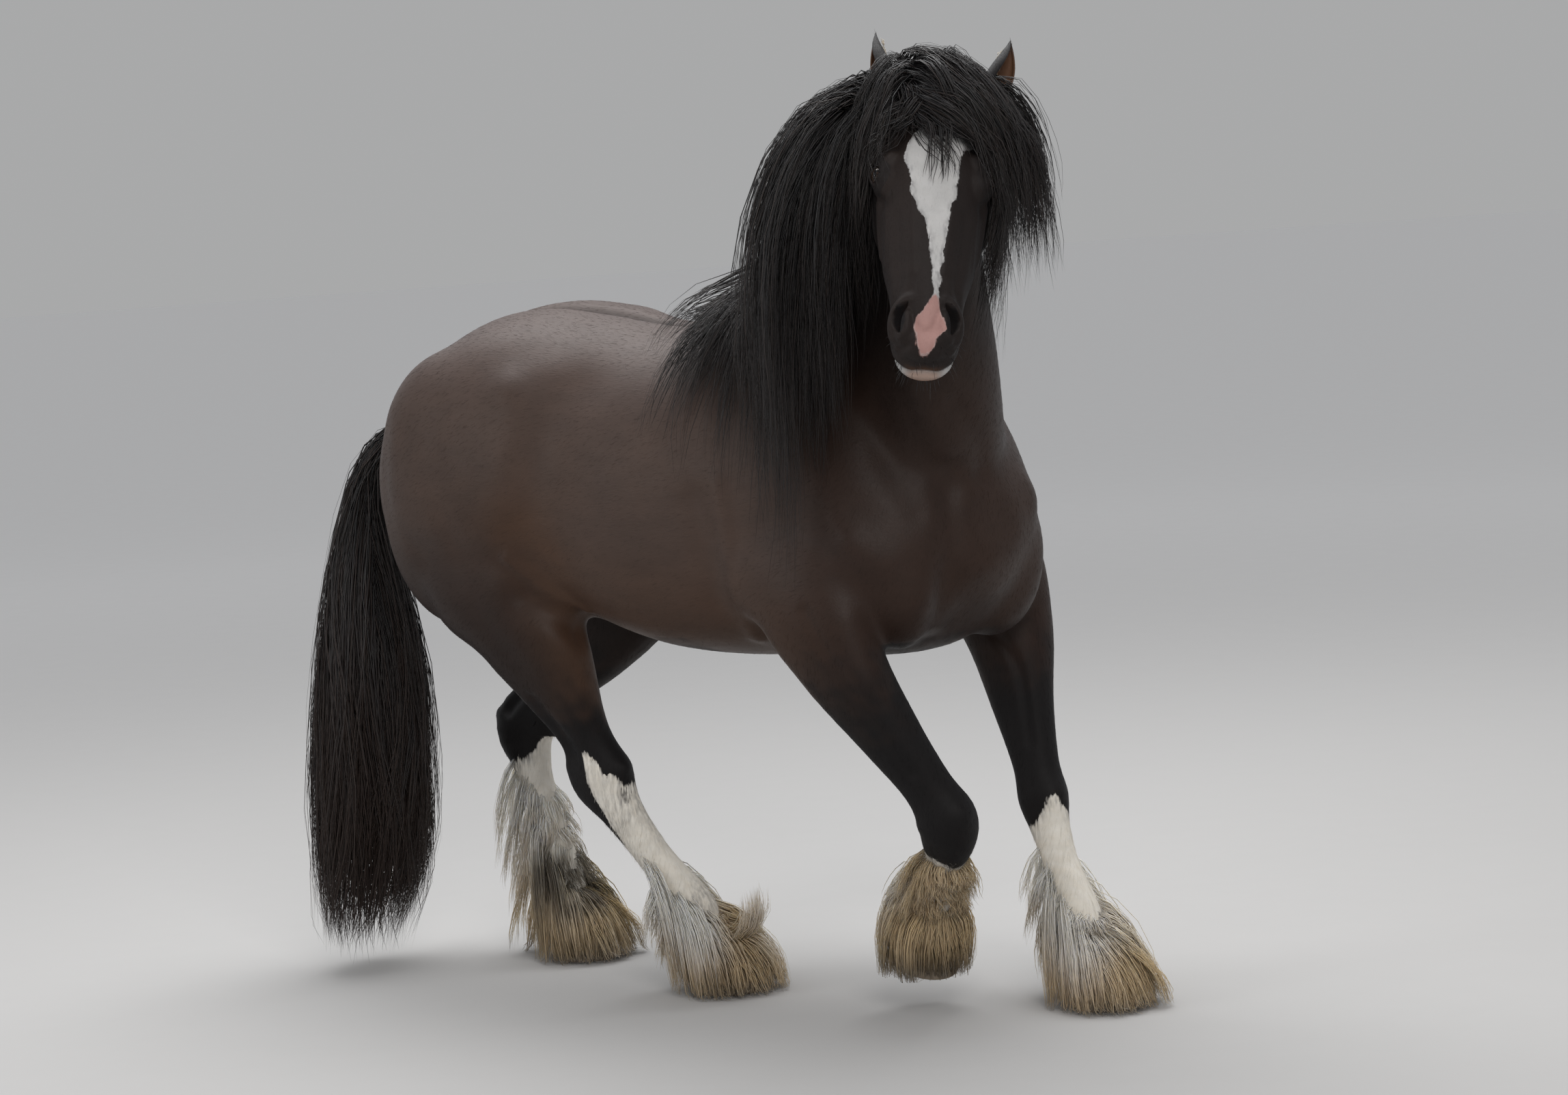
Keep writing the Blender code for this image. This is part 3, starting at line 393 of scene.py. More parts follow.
def trunkPiece():
    table, heading, xs, ys = bentSpine()
    rings = []
    for along, top, bottom, half, widest in smoothRows(trunkStations, 6):
        turn = 2 * pi * np.arange(48) / 48
        c, s = np.cos(turn), np.sin(turn)
        y = half * np.sign(c) * np.abs(c) ** 0.85
        z = widest + np.where(s > 0, (top - widest) * np.abs(s) ** 0.85, (bottom - widest) * np.abs(s) ** 0.9)
        a = np.interp(along, table, heading)
        rings.append(np.stack([np.interp(along, table, xs) - y * sin(a),
                               np.interp(along, table, ys) + y * cos(a), z], 1))
    return skinRings("trunk", rings)


def neckPiece():
    rows = smoothRows([(*crest, *throat, half) for crest, throat, half in neckStations], 7)
    rings = []
    for k, row in enumerate(rows):
        crest, throat, half = row[:3], row[3:6], row[6]
        ahead, behind = rows[min(k + 1, len(rows) - 1)], rows[max(k - 1, 0)]
        run = (ahead[:3] + ahead[3:6]) - (behind[:3] + behind[3:6])
        tall = np.linalg.norm(crest - throat)
        up = (crest - throat) / tall
        across = np.cross(up, run)
        across /= np.linalg.norm(across)
        rings.append(ovalRing(throat + up * tall * 0.45, across, up, half, tall * 0.55, tall * 0.45, 40))
    return skinRings("neck", rings)


def legRows(leg, steps):
    return smoothRows([(*centre, across, fore) for centre, across, fore in legStations[leg]], steps)


def legPiece(leg):
    rows = legRows(leg, 5)
    rings = []
    for k, row in enumerate(rows):
        run = rows[min(k + 1, len(rows) - 1)][:3] - rows[max(k - 1, 0)][:3]
        run /= np.linalg.norm(run)
        fore = np.array([1.0, 0, 0]) - run * run[0]
        fore /= np.linalg.norm(fore)
        rings.append(ovalRing(row[:3], np.cross(fore, run), fore, row[3], row[4], row[4], 28))
    return skinRings(leg, rings)


# flesh of the head

headSizes = {
    "rim": [                # path and thickness of the nostril's outer rim
        (466, 34, 50, 11), (478, 48, 44, 13), (500, 58, 32, 14),
        (524, 58, 16, 14), (545, 48, 6, 13),
    ],
    "nostril": (0.504, 0.0490, 0.048), "nostrilLong": 0.0320, "nostrilWide": 0.0100, "nostrilBend": 0.0110,
    "nostrilSlope": 0.0030,
    "mouthStart": 0.470, "mouthLength": 0.150, "mouthGap": 0.0022, "mouthHeight": (-0.044, -0.012),
}

eyeSizes = {
    "down": 0.207, "side": 0.0960, "out": 0.038,     # centre in the head's own axes
    "radius": 0.0225, "lidThick": 0.0032,
    "openLong": 0.0205, "openUpper": 0.0150, "openLower": 0.0098,
    "irisReach": 64.0, "dent": 0.10, "bulge": 0.035,
}


def eyeCentre(side):
    return Vector((eyeSizes["down"], side * eyeSizes["side"], eyeSizes["out"]))


def eyeAxes(side):
    # gaze, then towards the nose, then up towards the brow
    gaze = Vector((0.02, side * 0.75, 0.66)).normalized()
    nose = Vector((1.0, side * 0.10, -0.18))
    nose = (nose - gaze * nose.dot(gaze)).normalized()
    brow = gaze.cross(nose)
    return gaze, nose, brow if brow.z > 0 else -brow


def headLoft():
    rings = []
    u, v, w = np.eye(3)
    for along, fore, back, half in smoothRows(headStations, 6):
        centre = u * along + w * (fore + back) * 0.5
        rings.append(ovalRing(centre, v, w, half, (fore - back) * 0.5, (fore - back) * 0.5, 44, 0.82))
    return skinRings("head", rings)


def nostrilPlug(side):
    # comma-shaped plug that hollows the nostril
    u, v, w = headSizes["nostril"]
    centre = np.array([u, side * v, w])
    out = np.array([0.22, side * 0.52, 0.82])
    out /= np.linalg.norm(out)
    down = np.array([1.0, side * 0.06, -0.48])
    down -= out * (down @ out)
    down /= np.linalg.norm(down)
    across = np.cross(out, down) * -side
    rings = []
    for far, grow in ((-0.030, 0.25), (-0.022, 0.60), (-0.010, 0.88), (0.0, 1.0), (0.010, 1.15),
                      (0.030, 1.5)):
        ring = []
        for turn in 2 * pi * np.arange(28) / 28:
            c, s = cos(turn), sin(turn)
            x = headSizes["nostrilLong"] * c
            y = headSizes["nostrilWide"] * s * (1.0 + 0.25 * c) + headSizes["nostrilBend"] * (c * c - 0.5)
            y -= headSizes["nostrilSlope"] * c
            ring.append(centre + out * far + (down * x + across * y) * grow)
        rings.append(ring)
    return inHead(skinRings("nostril", rings))


def headPieces():
    pieces = [headLoft()]
    for side in (-1, 1):
        pieces += [
            ball((0.200, side * 0.067, -0.085), (0.118, 0.050, 0.088), (0, 12, 0)),    # cheek
            ball((0.206, side * 0.072, 0.026), (0.056, 0.044, 0.044)),                 # orbit
            ball((0.176, side * 0.077, 0.048), (0.044, 0.030, 0.024), (0, 0, side * 8)),   # brow
            ball((0.305, side * 0.066, -0.004), (0.085, 0.018, 0.020), (0, 4, side * -6)), # facial crest
            ball((0.115, side * 0.060, 0.040), (0.056, 0.034, 0.034)),                 # temple
            ball(tuple(eyeCentre(side)), (eyeSizes["radius"] + eyeSizes["lidThick"],) * 3),
            ball((0.506, side * 0.034, 0.012), (0.050, 0.033, 0.040)),                 # muzzle
            ball((0.540, side * 0.026, -0.012), (0.032, 0.034, 0.028)),                # upper lip
        ]
        for u, v, w, thick in smoothRows(metres(headSizes["rim"]), 3):
            pieces.append(ball((u, side * v, w), (thick,) * 3, segments=16))
    pieces += [
        ball((0.532, 0, 0.002), (0.044, 0.058, 0.042)), ball((0.492, 0, 0.020), (0.060, 0.042, 0.034)),
        ball((0.550, 0, -0.046), (0.038, 0.052, 0.028)), ball((0.532, 0, -0.072), (0.040, 0.042, 0.030)),
        ball((0.420, 0, 0.048), (0.110, 0.034, 0.024)),
    ]
    return [inHead(piece) for piece in pieces]


def mouthSlit():
    u, v, w = np.eye(3)
    rings = []
    low, high = headSizes["mouthHeight"]
    for k in range(9):
        along = headSizes["mouthStart"] + headSizes["mouthLength"] * k / 8
        half = headSizes["mouthGap"] * (0.35 + 0.65 * min(1.0, k / 3))
        rings.append(ovalRing(u * along + w * (low + (high - low) * k / 8), v, w, 0.095, half, half, 16, 0.6))
    return inHead(skinRings("slit", rings))


def lidEdge(c, s):
    # almond edge of the lids, across the gaze: towards the nose, and towards the brow
    tall = eyeSizes["openUpper"] if s > 0 else eyeSizes["openLower"]
    return eyeSizes["openLong"] * c, tall * s * (1 - 0.35 * c * c) - 0.0022 * c


def lidOpening(side):
    # almond-shaped plug that opens the lids over the eyeball
    gaze, nose, brow = (np.array(v) for v in eyeAxes(side))
    centre = np.array(eyeCentre(side))
    rings = []
    for far, grow in ((0.008, 0.55), (0.016, 0.90), (0.0225, 1.06), (0.032, 1.40)):
        ring = []
        for turn in 2 * pi * np.arange(28) / 28:
            x, y = lidEdge(cos(turn), sin(turn))
            ring.append(centre + gaze * far + (nose * x + brow * y) * grow)
        rings.append(ring)
    return inHead(skinRings("opening", rings))


def headWeight(points):
    # 1 on the head, 0 on the neck behind it
    inverse = np.array(headFrame.inverted())
    local = points @ inverse[:3, :3].T + inverse[:3, 3]
    near = softStep(0.30, 0.24, np.abs(local[:, 1])) * softStep(0.72, 0.66, local[:, 0])
    return softStep(-0.07, 0.02, local[:, 0] * 0.6 + local[:, 2] * 0.8) * near, local


# ridges and grooves worked into the skin: height, width, line

bodyLines = metres({       # on the right side, and mirrored to the left
    "elbow ridge": (9, 28, [(258, -323, 1138), (279, -324, 1018), (279, -307, 903), (261, -224, 809)]),
    "elbow groove": (-7, 36, [(203, -330, 1101), (224, -329, 1003), (215, -300, 893)]),
    "flank fold": (10, 20, [(-325, -327, 985), (-250, -312, 905), (-190, -262, 845)]),
    "flank hollow": (-20, 36, [(-300, -315, 890), (-235, -290, 850), (-200, -240, 815)]),
    "point of hip": (12, 50, [(-325, -297, 1340)]),
    "haunch front": (7, 60, [(-250, -270, 1367), (-300, -338, 1239), (-345, -359, 1098), (-360, -341, 939)]),
    "loin hollow": (-8, 70, [(-150, -290, 1330), (-190, -340, 1200), (-225, -350, 1080)]),
    "thigh groove": (-4, 34, [(-500, -342, 1311), (-490, -372, 1108), (-435, -352, 900), (-345, -315, 742)]),
    "ham groove": (-3.5, 34, [(-680, -300, 1250), (-690, -310, 1080), (-620, -300, 900), (-470, -290, 760)]),
    "shoulder blade": (6, 35, [(300, -170, 1420), (420, -280, 1250), (580, -310, 1030)]),
})

ownLines = metres({        # each where it is
    "breast groove": (-15, 34, [(745, -169, 1145), (749, -178, 1075), (744, -182, 966),
                                      (722, -178, 875), (640, -150, 790)]),
    "right breast": (13, 60, [(680, -256, 884), (651, -285, 960)]),
    "left breast": (13, 60, [(761, -84, 937), (745, -40, 900)]),
    "right point of shoulder": (12, 50, [(602, -314, 1003)]),
    "left point of shoulder": (12, 50, [(735, 78, 1060)]),
    "neck groove right": (-6, 34, [(633, -247, 1280), (663, -248, 1154), (707, -237, 1074)]),
    "neck groove left": (-8, 28, [(768, -190, 1310), (770, -130, 1212), (770, -95, 1142)]),
    "windpipe": (8, 34, [(745, -270, 1340), (752, -215, 1230), (755, -180, 1150)]),
    "right forearm": (10, 50, [(590, -320, 855), (611, -303, 748)]),
    "right forearm groove": (-6, 14, [(500, -350, 880), (575, -285, 700), (640, -222, 540)]),
    "left forearm groove": (-6, 14, [(610, 140, 860), (640, 165, 700), (660, 160, 540)]),
    "right knee": (8, 30, [(716, -170, 445)]),
    "left knee": (8, 30, [(722, 175, 430)]),
    "right hock point": (12, 26, [(-350, -157, 505)]),
    "left hock point": (12, 26, [(-842, 142, 555)]),
    "right hock hollow": (-12, 20, [(-345, -235, 680), (-312, -210, 590), (-300, -200, 530)]),
    "right inner hollow": (-10, 20, [(-335, -165, 680), (-300, -130, 590), (-295, -115, 530)]),
    "left hock hollow": (-12, 20, [(-690, 225, 700), (-735, 205, 630), (-780, 190, 575)]),
    "left inner hollow": (-12, 20, [(-690, 125, 700), (-735, 110, 630), (-780, 100, 575)]),
    "right hock front": (6, 20, [(-190, -165, 500)]),
})

headLines = metres({       # in the head's own axes, on both sides
    "brow": (6, 9.5, [(170, 80, 66), (190, 98, 64), (216, 106, 54)]),
    "under the eye": (-3, 8, [(185, 118, 6), (210, 119, 0), (236, 112, 4)]),
    "temple hollow": (-9, 17, [(135, 68, 66), (152, 76, 64)]),
    "tear hollow": (-4, 13, [(240, 94, 30), (262, 88, 26)]),
    "facial crest": (4.8, 8.5, [(245, 97, 6), (300, 92, -4), (352, 83, -8)]),
    "under the crest": (-5, 12, [(270, 90, -30), (340, 80, -34)]),
    "cheek edge": (-6, 14, [(285, 80, -110), (305, 78, -80), (290, 84, -50)]),
    "nose bone": (3, 8, [(250, 44, 88), (330, 36, 80), (415, 29, 70)]),
    "nose side": (-6, 15, [(300, 64, 58), (370, 58, 50), (425, 52, 46)]),
    "nose vein": (1.6, 4, [(275, 80, 36), (330, 73, 26), (385, 68, 10)]),
    "nostril wing": (4, 6.5, [(470, 30, 60), (500, 34, 56), (528, 36, 42), (540, 46, 30)]),
    "above the nostril": (-5, 10, [(445, 52, 40), (462, 58, 26), (480, 72, 6)]),
    "under the nostril": (-4, 6, [(545, 58, 10), (556, 44, 14), (552, 30, 26)]),
    "lip corner": (-4, 9, [(470, 60, -40), (500, 62, -37)]),
    "upper lip edge": (3, 6, [(520, 60, -24), (560, 46, -16), (588, 20, -12)]),
    "lower lip edge": (3.2, 5.5, [(520, 56, -46), (560, 44, -40), (592, 18, -36)]),
    "chin groove": (-6, 11, [(510, 26, -104), (512, 0, -108)]),
    "lip parting": (-2.6, 5, [(560, 0, 12), (590, 0, -10)]),
})


def workLines(mesh, lines):
    tree, points, normals = surfaceOf(mesh), meshPoints(mesh), vertexNormals(mesh)
    move = np.zeros(len(points))
    for height, width, line in lines:
        line = np.array([tree.find_nearest(Vector(p))[0] for p in line])
        if len(line) > 2:
            line = smoothRows(line, 5)
        near = np.all((points > line.min(0) - 3 * width) & (points < line.max(0) + 3 * width), axis=1)
        some = points[near]
        far = np.linalg.norm(some - line[0], axis=1)
        for a, b in zip(line[:-1], line[1:]):
            t = np.clip((some - a) @ (b - a) / max((b - a) @ (b - a), 1e-12), 0, 1)
            far = np.minimum(far, np.linalg.norm(some - a - t[:, None] * (b - a), axis=1))
        move[near] += height * np.exp(-(far / width) ** 2)
    movePoints(mesh, points + normals * move[:, None])


def bothSides(lines):
    made = []
    for height, width, line in lines.values():
        made.append((height, width, line))
        made.append((height, width, [(x, 2 * float(spineLine(x)) - y, z) for x, y, z in line]))
    return made


def spineLines():
    # groove along the croup and the loins, with the left half of the croup pushed up by the striding leg
    places = [(-0.74, 1.40), (-0.62, 1.47), (-0.45, 1.50), (-0.28, 1.49), (-0.12, 1.46), (0.02, 1.45)]
    made = []
    for height, width, aside, first, last in ((-0.024, 0.026, 0.0, 0, 6), (0.020, 0.085, 0.140, 1, 4),
                                              (-0.006, 0.070, -0.130, 1, 4)):
        made.append((height, width, [(x, float(spineLine(x)) + aside, z) for x, z in places[first:last]]))
    return made


def onHead(lines):
    made = []
    for height, width, line in lines.values():
        for side in (-1, 1):
            if side > 0 or any(abs(p[1]) > 1e-6 for p in line):
                made.append((height, width, [tuple(headFrame @ Vector((u, side * v, w))) for u, v,
                                             w in line]))
    return made


def spineLine(x):
    table, heading, xs, ys = bentSpine()
    return np.interp(x, xs, ys)


def meltWeight(points):
    # where the big muscles run into each other: trunk, shoulders and haunches
    head = headWeight(points)[0]
    return softStep(0.72, 0.92, points[:, 2]) * softStep(0.62, 0.52, points[:, 2] - 1.15) * (1 - head)


def makeSkin():
    pieces = [trunkPiece(), neckPiece()] + [legPiece(leg) for leg in legStations]
    pieces += [ball(*muscle, segments=40) for muscle in muscles] + headPieces()
    skin = joined("skin", pieces)
    modified(skin, ("REMESH", {"mode": "VOXEL", "voxel_size": fleshSizes["voxel"]}))
    print("remeshed", len(skin.data.polygons))
    relaxed(skin.data, fleshSizes["headRounds"], lambda p: np.ones(len(p)))
    relaxed(skin.data, fleshSizes["softRounds"], lambda p: 1 - headWeight(p)[0])
    relaxed(skin.data, fleshSizes["blendRounds"], meltWeight, shrink=True)
    workLines(skin.data, bothSides(bodyLines) + spineLines() + list(ownLines.values()) + onHead(headLines))
    relaxed(skin.data, 2, lambda p: np.ones(len(p)))
    modified(skin, ("TRIANGULATE", {}))
    for cutter in (mouthSlit(), lidOpening(-1), lidOpening(1)):
        cut(skin, cutter)
    for side in (-1, 1):
        cut(skin, inHead(ball(tuple(eyeCentre(side)), (eyeSizes["radius"] + 0.0004,) * 3)))
        cut(skin, nostrilPlug(side))
    ratio = min(1.0, fleshSizes["faces"] / len(skin.data.polygons))
    modified(skin, ("TRIANGULATE", {}), ("DECIMATE", {"ratio": ratio}))
    points, normals = meshPoints(skin.data), vertexNormals(skin.data)
    share, local = headWeight(points)
    nearEye = np.min([np.linalg.norm(local - np.array(eyeCentre(s)), axis=1) for s in (-1, 1)], axis=0)
    depth = fleshSizes["coatDepth"] * (1 - 0.80 * share) * softStep(0.026, 0.040, nearEye)
    movePoints(skin.data, points - normals * depth[:, None])
    skin.data.shade_smooth()
    print("skin", len(skin.data.polygons), "triangles")
    return skin


# markings, worked out from the places of the legs and the face, with a painted sheen on the top of the coat
# and on the face's right side

markingSizes = {
    "whiteStart": {"fore_left": 5.25, "fore_right": 6.25, "hind_right": 5.6, "hind_left": 5.5},
    "ragged": 0.20,          # how uneven the upper edge of the white is, in stations
    # heading of the white stripe in degrees, its top, and where the white starts in front of it and behind
    "stripes": {"hind_right": (-63, 4.3, 5.65, 6.6), "hind_left": (20, 5.0, 5.5, 5.8),
                "fore_left": (-35, 5.2, 5.75, 5.75)},
    "blackStart": {"fore_left": 2.6, "fore_right": 2.5, "hind_right": 3.4, "hind_left": 3.2},
    "blaze": [               # place down the face, right and left edge of the white
        (20, -30, 62), (118, -30, 66), (139, -42, 74), (152, -54, 66),
        (172, -55, 55), (188, -54, 47), (231, -42, 46), (264, -38, 43),
        (291, -27, 36), (318, -9, 32), (353, -2, 29), (387, 4, 28),
        (433, 6, 22), (467, 10, 20), (480, 13, 19),
    ],
    "snip": [(464, 13, 16), (477, 7, 21), (489, 1, 26), (508, -15, 30),
             (521, -18, 36), (527, -18, 44), (532, -17, 33), (542, -16, 22),
             (557, -15, 16), (566, -10, 10), (574, -6, 4)],
}


def legPlaces(points):
    # nearest leg, and the place along it in stations
    names = list(legStations)
    best = np.full(len(points), 9.0)
    leg, place = np.zeros(len(points), int), np.zeros(len(points))
    for n, name in enumerate(names):
        centres = np.array([row[0] for row in legStations[name]])
        for k in range(len(centres) - 1):
            a, b = centres[k], centres[k + 1]
            t = np.clip((points - a) @ (b - a) / ((b - a) @ (b - a)), 0, 1)
            far = np.linalg.norm(points - (a + t[:, None] * (b - a)), axis=1)
            near = far < best
            best[near], leg[near], place[near] = far[near], n, (k + t)[near]
    return names, leg, place


def markingsAndSheen(points, normals):
    share, local = headWeight(points)
    x, y, z = points.T
    u, v, w = local.T
    fray = 0.0025 * waves(local, 150, 5)

    def inside(name):
        # how far inside the right and left edge of a marking on the face
        rows = np.array(metres(markingSizes[name]))
        right, left = (np.interp(u, rows[:, 0], rows[:, k]) for k in (1, 2))
        return np.minimum(v - right, left - v) + fray

    def cloud(centre, size):
        return np.exp(-(np.linalg.norm((points - centre) / size, axis=1)) ** 2)

    names, leg, place = legPlaces(points)
    start = np.array([markingSizes["whiteStart"][n] for n in names])[leg]
    dark = np.array([markingSizes["blackStart"][n] for n in names])[leg]
    edge = markingSizes["ragged"] * (0.8 * waves(points, 30, 1) + 0.5 * waves(points, 120, 2))
    onLeg = (z < 0.80) & (share < 0.2)
    white = np.clip(0.5 + (place + edge - start) * 0.8, 0, 1) * onLeg
    black = softStep(dark - 0.9, dark + 0.6, place + 1.5 * edge) * onLeg
    for name, (turned, top, front, back) in markingSizes["stripes"].items():
        # the white climbs in a stripe and is lower in front of it and behind
        mid = [np.interp(place, np.arange(12), [row[0][axis] for row in legStations[name]]) for axis in (0,
                                                                                                         1)]
        angle = np.degrees(np.arctan2(y - mid[1], x - mid[0])) - turned
        angle = (angle + 180) % 360 - 180
        rim = top + np.where(angle > 0, (front - top) * softStep(0, 48, angle),
                             (back - top) * softStep(0, 75, -angle))
        mine = np.clip(0.5 + (place + 0.6 * edge - rim) * 0.8, 0, 1) * onLeg
        white = np.where(leg == names.index(name), mine, white)
    # the right hind's cannon is white with grey streaks through it
    grey = (leg == names.index("hind_right")) & (place < 8.6)
    white = np.where(grey, np.minimum(white, 0.74 + 0.14 * waves(points, 34, 41)), white)

    blaze = np.clip(0.5 + np.minimum(inside("blaze"), 0.478 - u) * 40, 0, 1) * (w > 0.012)
    snip = np.minimum(inside("snip"), np.minimum(u - 0.464, 0.569 - u))
    snip = np.clip(0.5 + snip * 40, 0, 1) * (w > -0.034)
    mouthLine = np.interp(u, [headSizes["mouthStart"], headSizes["mouthStart"] + headSizes["mouthLength"]],
                          headSizes["mouthHeight"])
    chin = np.clip(0.5 + np.minimum(u + fray - 0.530, mouthLine - w) * 40, 0, 1) * (w > -0.095)
    # painted sheen: the face is near black, and its right side a little less so
    black = np.maximum(black, share * (0.82 - 0.09 * softStep(0.01, -0.06, v)))
    off = (np.stack([u, np.abs(v), w + 0.006], 1) - headSizes["nostril"]) / (0.032, 0.013, 0.024)
    hollow = softStep(1.15, 0.85, np.linalg.norm(off, axis=1)) * (share > 0.5)
    for side in (-1, 1):
        near = np.linalg.norm(local - np.array(eyeCentre(side)), axis=1)
        hollow = np.maximum(hollow, softStep(0.030, 0.024, near) * 0.8)
    blaze, snip, chin = blaze * (1 - hollow), snip * (1 - hollow), chin * (1 - hollow)
    white = np.where(share > 0.5, np.maximum(blaze, np.maximum(snip, chin)), white)
    black = np.maximum(black, hollow)
    # the crest and the hair line are dark, the line of the back a little
    stripe = softStep(0.042, 0.006, np.abs(y - spineLine(x))) * (z > 1.3)
    stripe *= softStep(0.40, 0.30, x) * softStep(-0.80, -0.70, x)
    black = np.maximum(black, stripe * 0.62)
    # painted sheen: where the coat faces up it is mixed towards a paler grey-brown, standing in for light
    # from above
    top = softStep(0.15, 0.95, normals[:, 2]) * (share < 0.2)
    warm = softStep(1.12, 0.80, z + 0.10 * waves(points, 7, 31)) * softStep(-0.55, -0.25, x)
    flank = cloud((-0.27, -0.33, 0.99), (0.10, 0.2, 0.13)) + cloud((-0.30, 0.25, 0.99), (0.10, 0.2, 0.13))
    warm = np.clip(warm + flank, 0, 1) * (1 - share)
    deep = softStep(0.28, 0.60, x + 0.10 * waves(points, 6, 33)) * (1 - 0.4 * share)
    deep *= 1 - 0.35 * cloud((0.72, 0.05, 1.02), (0.2, 0.16, 0.16))
    deep += 0.25 * softStep(0.95, 0.72, z) * (x > 0)
    thigh = softStep(1.16, 0.86, z) * softStep(-0.18, -0.38, x)
    deep = np.maximum(deep, 1.08 * thigh)
    black = np.maximum(black, 0.50 * softStep(1.00, 0.66, z) * softStep(-0.2, -0.3, x))
    nape = softStep(0.30, 0.55, x) * softStep(1.25, 1.55, z) * (1 - share)
    black = np.maximum(black, nape * 0.75)
    black = np.maximum(black, softStep(0.06, -0.06, local[:, 0] + 0.3 * local[:, 2]) * share)
    pink = snip * (share > 0.5)
    amber = chin * softStep(0.045, 0.020, np.abs(v)) * 0.75 + chin * softStep(-0.040, -0.066, w) * 0.35
    amber = np.clip(amber, 0, 1) * (share > 0.5)
    return {"white": white, "black": black, "top": top, "warm": warm, "deep": deep, "pink": pink,
            "amber": amber,
            "head": share, "leg": softStep(0.85, 0.70, z) * (share < 0.2)}


def coatLie(points, normals):
    # direction in which the short hair lies
    share, local = headWeight(points)
    trunk = np.stack([np.full(len(points), -1.0), np.zeros(len(points)), -0.45 * np.ones(len(points))], 1)
    legs = np.stack([np.full(len(points), -0.25), np.zeros(len(points)), -np.ones(len(points))], 1)
    low = softStep(0.98, 0.72, points[:, 2])[:, None]
    lie = trunk * (1 - low) + legs * low
    neck = softStep(0.45, 0.62, points[:, 0] + 0.25 * (points[:, 2] - 1.2))[:, None] * (1 - low)
    lie = lie * (1 - neck) + np.array([-0.45, 0.1, -1.0]) * neck
    face = np.array(headFrame)[:3, 0]
    lie = lie * (1 - share[:, None]) + face * share[:, None]
    lie += 0.12 * np.stack([waves(points, 9, 21), waves(points, 9, 22), waves(points, 9, 23)], 1)
    lie -= normals * (lie * normals).sum(1)[:, None]
    return lie / np.maximum(np.linalg.norm(lie, axis=1), 1e-6)[:, None]


skin = makeSkin()
skinPoints, skinNormals = meshPoints(skin.data), vertexNormals(skin.data)
marks = markingsAndSheen(skinPoints, skinNormals)
for markName, markValues in marks.items():
    setAttribute(skin.data, markName, markValues)
setAttribute(skin.data, "lie", coatLie(skinPoints, skinNormals), "FLOAT_VECTOR")
shaggy = softStep(5.2, 6.5, legPlaces(skinPoints)[2]) * (skinPoints[:, 2] < 0.6)
setAttribute(skin.data, "tuftLength", (1.0 - 0.55 * marks["head"]) * (1 + 1.0 * shaggy))
setAttribute(skin.data, "tuftDensity", 1.0 + 1.2 * marks["head"] + 1.2 * shaggy)
print("markings done")


# unwrap of the skin's own shape, for the coat's OFBake map

def unwrapSkin():
    flat = newObject("unwrap", skin.data.copy())
    modified(flat, ("DECIMATE", {"ratio": 9000 / len(flat.data.polygons)}))
    bpy.ops.object.select_all(action="DESELECT")
    flat.select_set(True)
    bpy.context.view_layer.objects.active = flat
    bpy.ops.object.mode_set(mode="EDIT")
    bpy.ops.mesh.select_all(action="SELECT")
    bpy.ops.uv.smart_project(angle_limit=radians(66), island_margin=0.004)
    bpy.ops.object.mode_set(mode="OBJECT")
    return flat


flatSkin = unwrapSkin()
flatMesh = flatSkin.data
flatTree = surfaceOf(flatMesh)
flatUv = readArray(flatMesh.uv_layers.active.data, "uv", 2).reshape(-1, 3, 2)
print("unwrap done")


def rootUvs(roots):
    made = []
    for point in roots:
        place, normal, index = flatTree.find_nearest(Vector(point))[:3]
        a, b, c = (flatMesh.vertices[k].co for k in flatMesh.polygons[index].vertices)
        area = (b - a).cross(c - a).length
        wa, wb = (b - place).cross(c - place).length / area, (a - place).cross(c - place).length / area
        made.append(flatUv[index][0] * wa + flatUv[index][1] * wb + flatUv[index][2] * max(0.0, 1 - wa - wb))
    return np.array(made)


# materials

def newMaterial(name):
    made = bpy.data.materials.new(name)
    made.use_nodes = True
    tree = made.node_tree
    return made, tree, tree.nodes["Principled BSDF"]


def feed(tree, node, given):
    # links or sets a node's inputs; a plain colour gets its alpha
    for key, value in given.items():
        socket = node.inputs[key]
        if isinstance(value, bpy.types.NodeSocket):
            tree.links.new(value, socket)
        else:
            socket.default_value = (*value[:3], 1.0) if socket.type == "RGBA" else value
    return node


def addNode(tree, kind, given=None, **settings):
    node = tree.nodes.new(kind)
    for key, value in settings.items():
        setattr(node, key, value)
    return feed(tree, node, given or {})


def attributeNode(tree, name):
    return addNode(tree, "ShaderNodeAttribute", attribute_name=name).outputs["Fac"]


def mixColour(tree, share, first, second):
    return addNode(tree, "ShaderNodeMix", {0: share, 6: first, 7: second}, data_type="RGBA").outputs[2]


def maths(tree, operation, *given):
    return addNode(tree, "ShaderNodeMath", dict(enumerate(given)), operation=operation).outputs[0]


def stretchedNoise(tree, scale, detail, stretch=(1, 1, 1)):
    place = addNode(tree, "ShaderNodeTexCoord").outputs["Object"]
    mapping = addNode(tree, "ShaderNodeMapping", {"Scale": stretch, "Vector": place})
    given = {"Scale": scale, "Detail": detail, "Vector": mapping.outputs["Vector"]}
    return addNode(tree, "ShaderNodeTexNoise", given).outputs["Fac"]


def bumped(tree, height, strength, distance):
    given = {"Strength": strength, "Distance": distance, "Height": height}
    return addNode(tree, "ShaderNodeBump", given).outputs["Normal"]


def newGroup(name, inputs, outputs):
    group = bpy.data.node_groups.new(name, "ShaderNodeTree")
    for label, kind, value in inputs:
        socket = group.interface.new_socket(label, in_out="INPUT", socket_type=kind)
        socket.default_value = value
    for label, kind in outputs:
        group.interface.new_socket(label, in_out="OUTPUT", socket_type=kind)
    return group, group.nodes.new("NodeGroupInput").outputs, group.nodes.new("NodeGroupOutput")


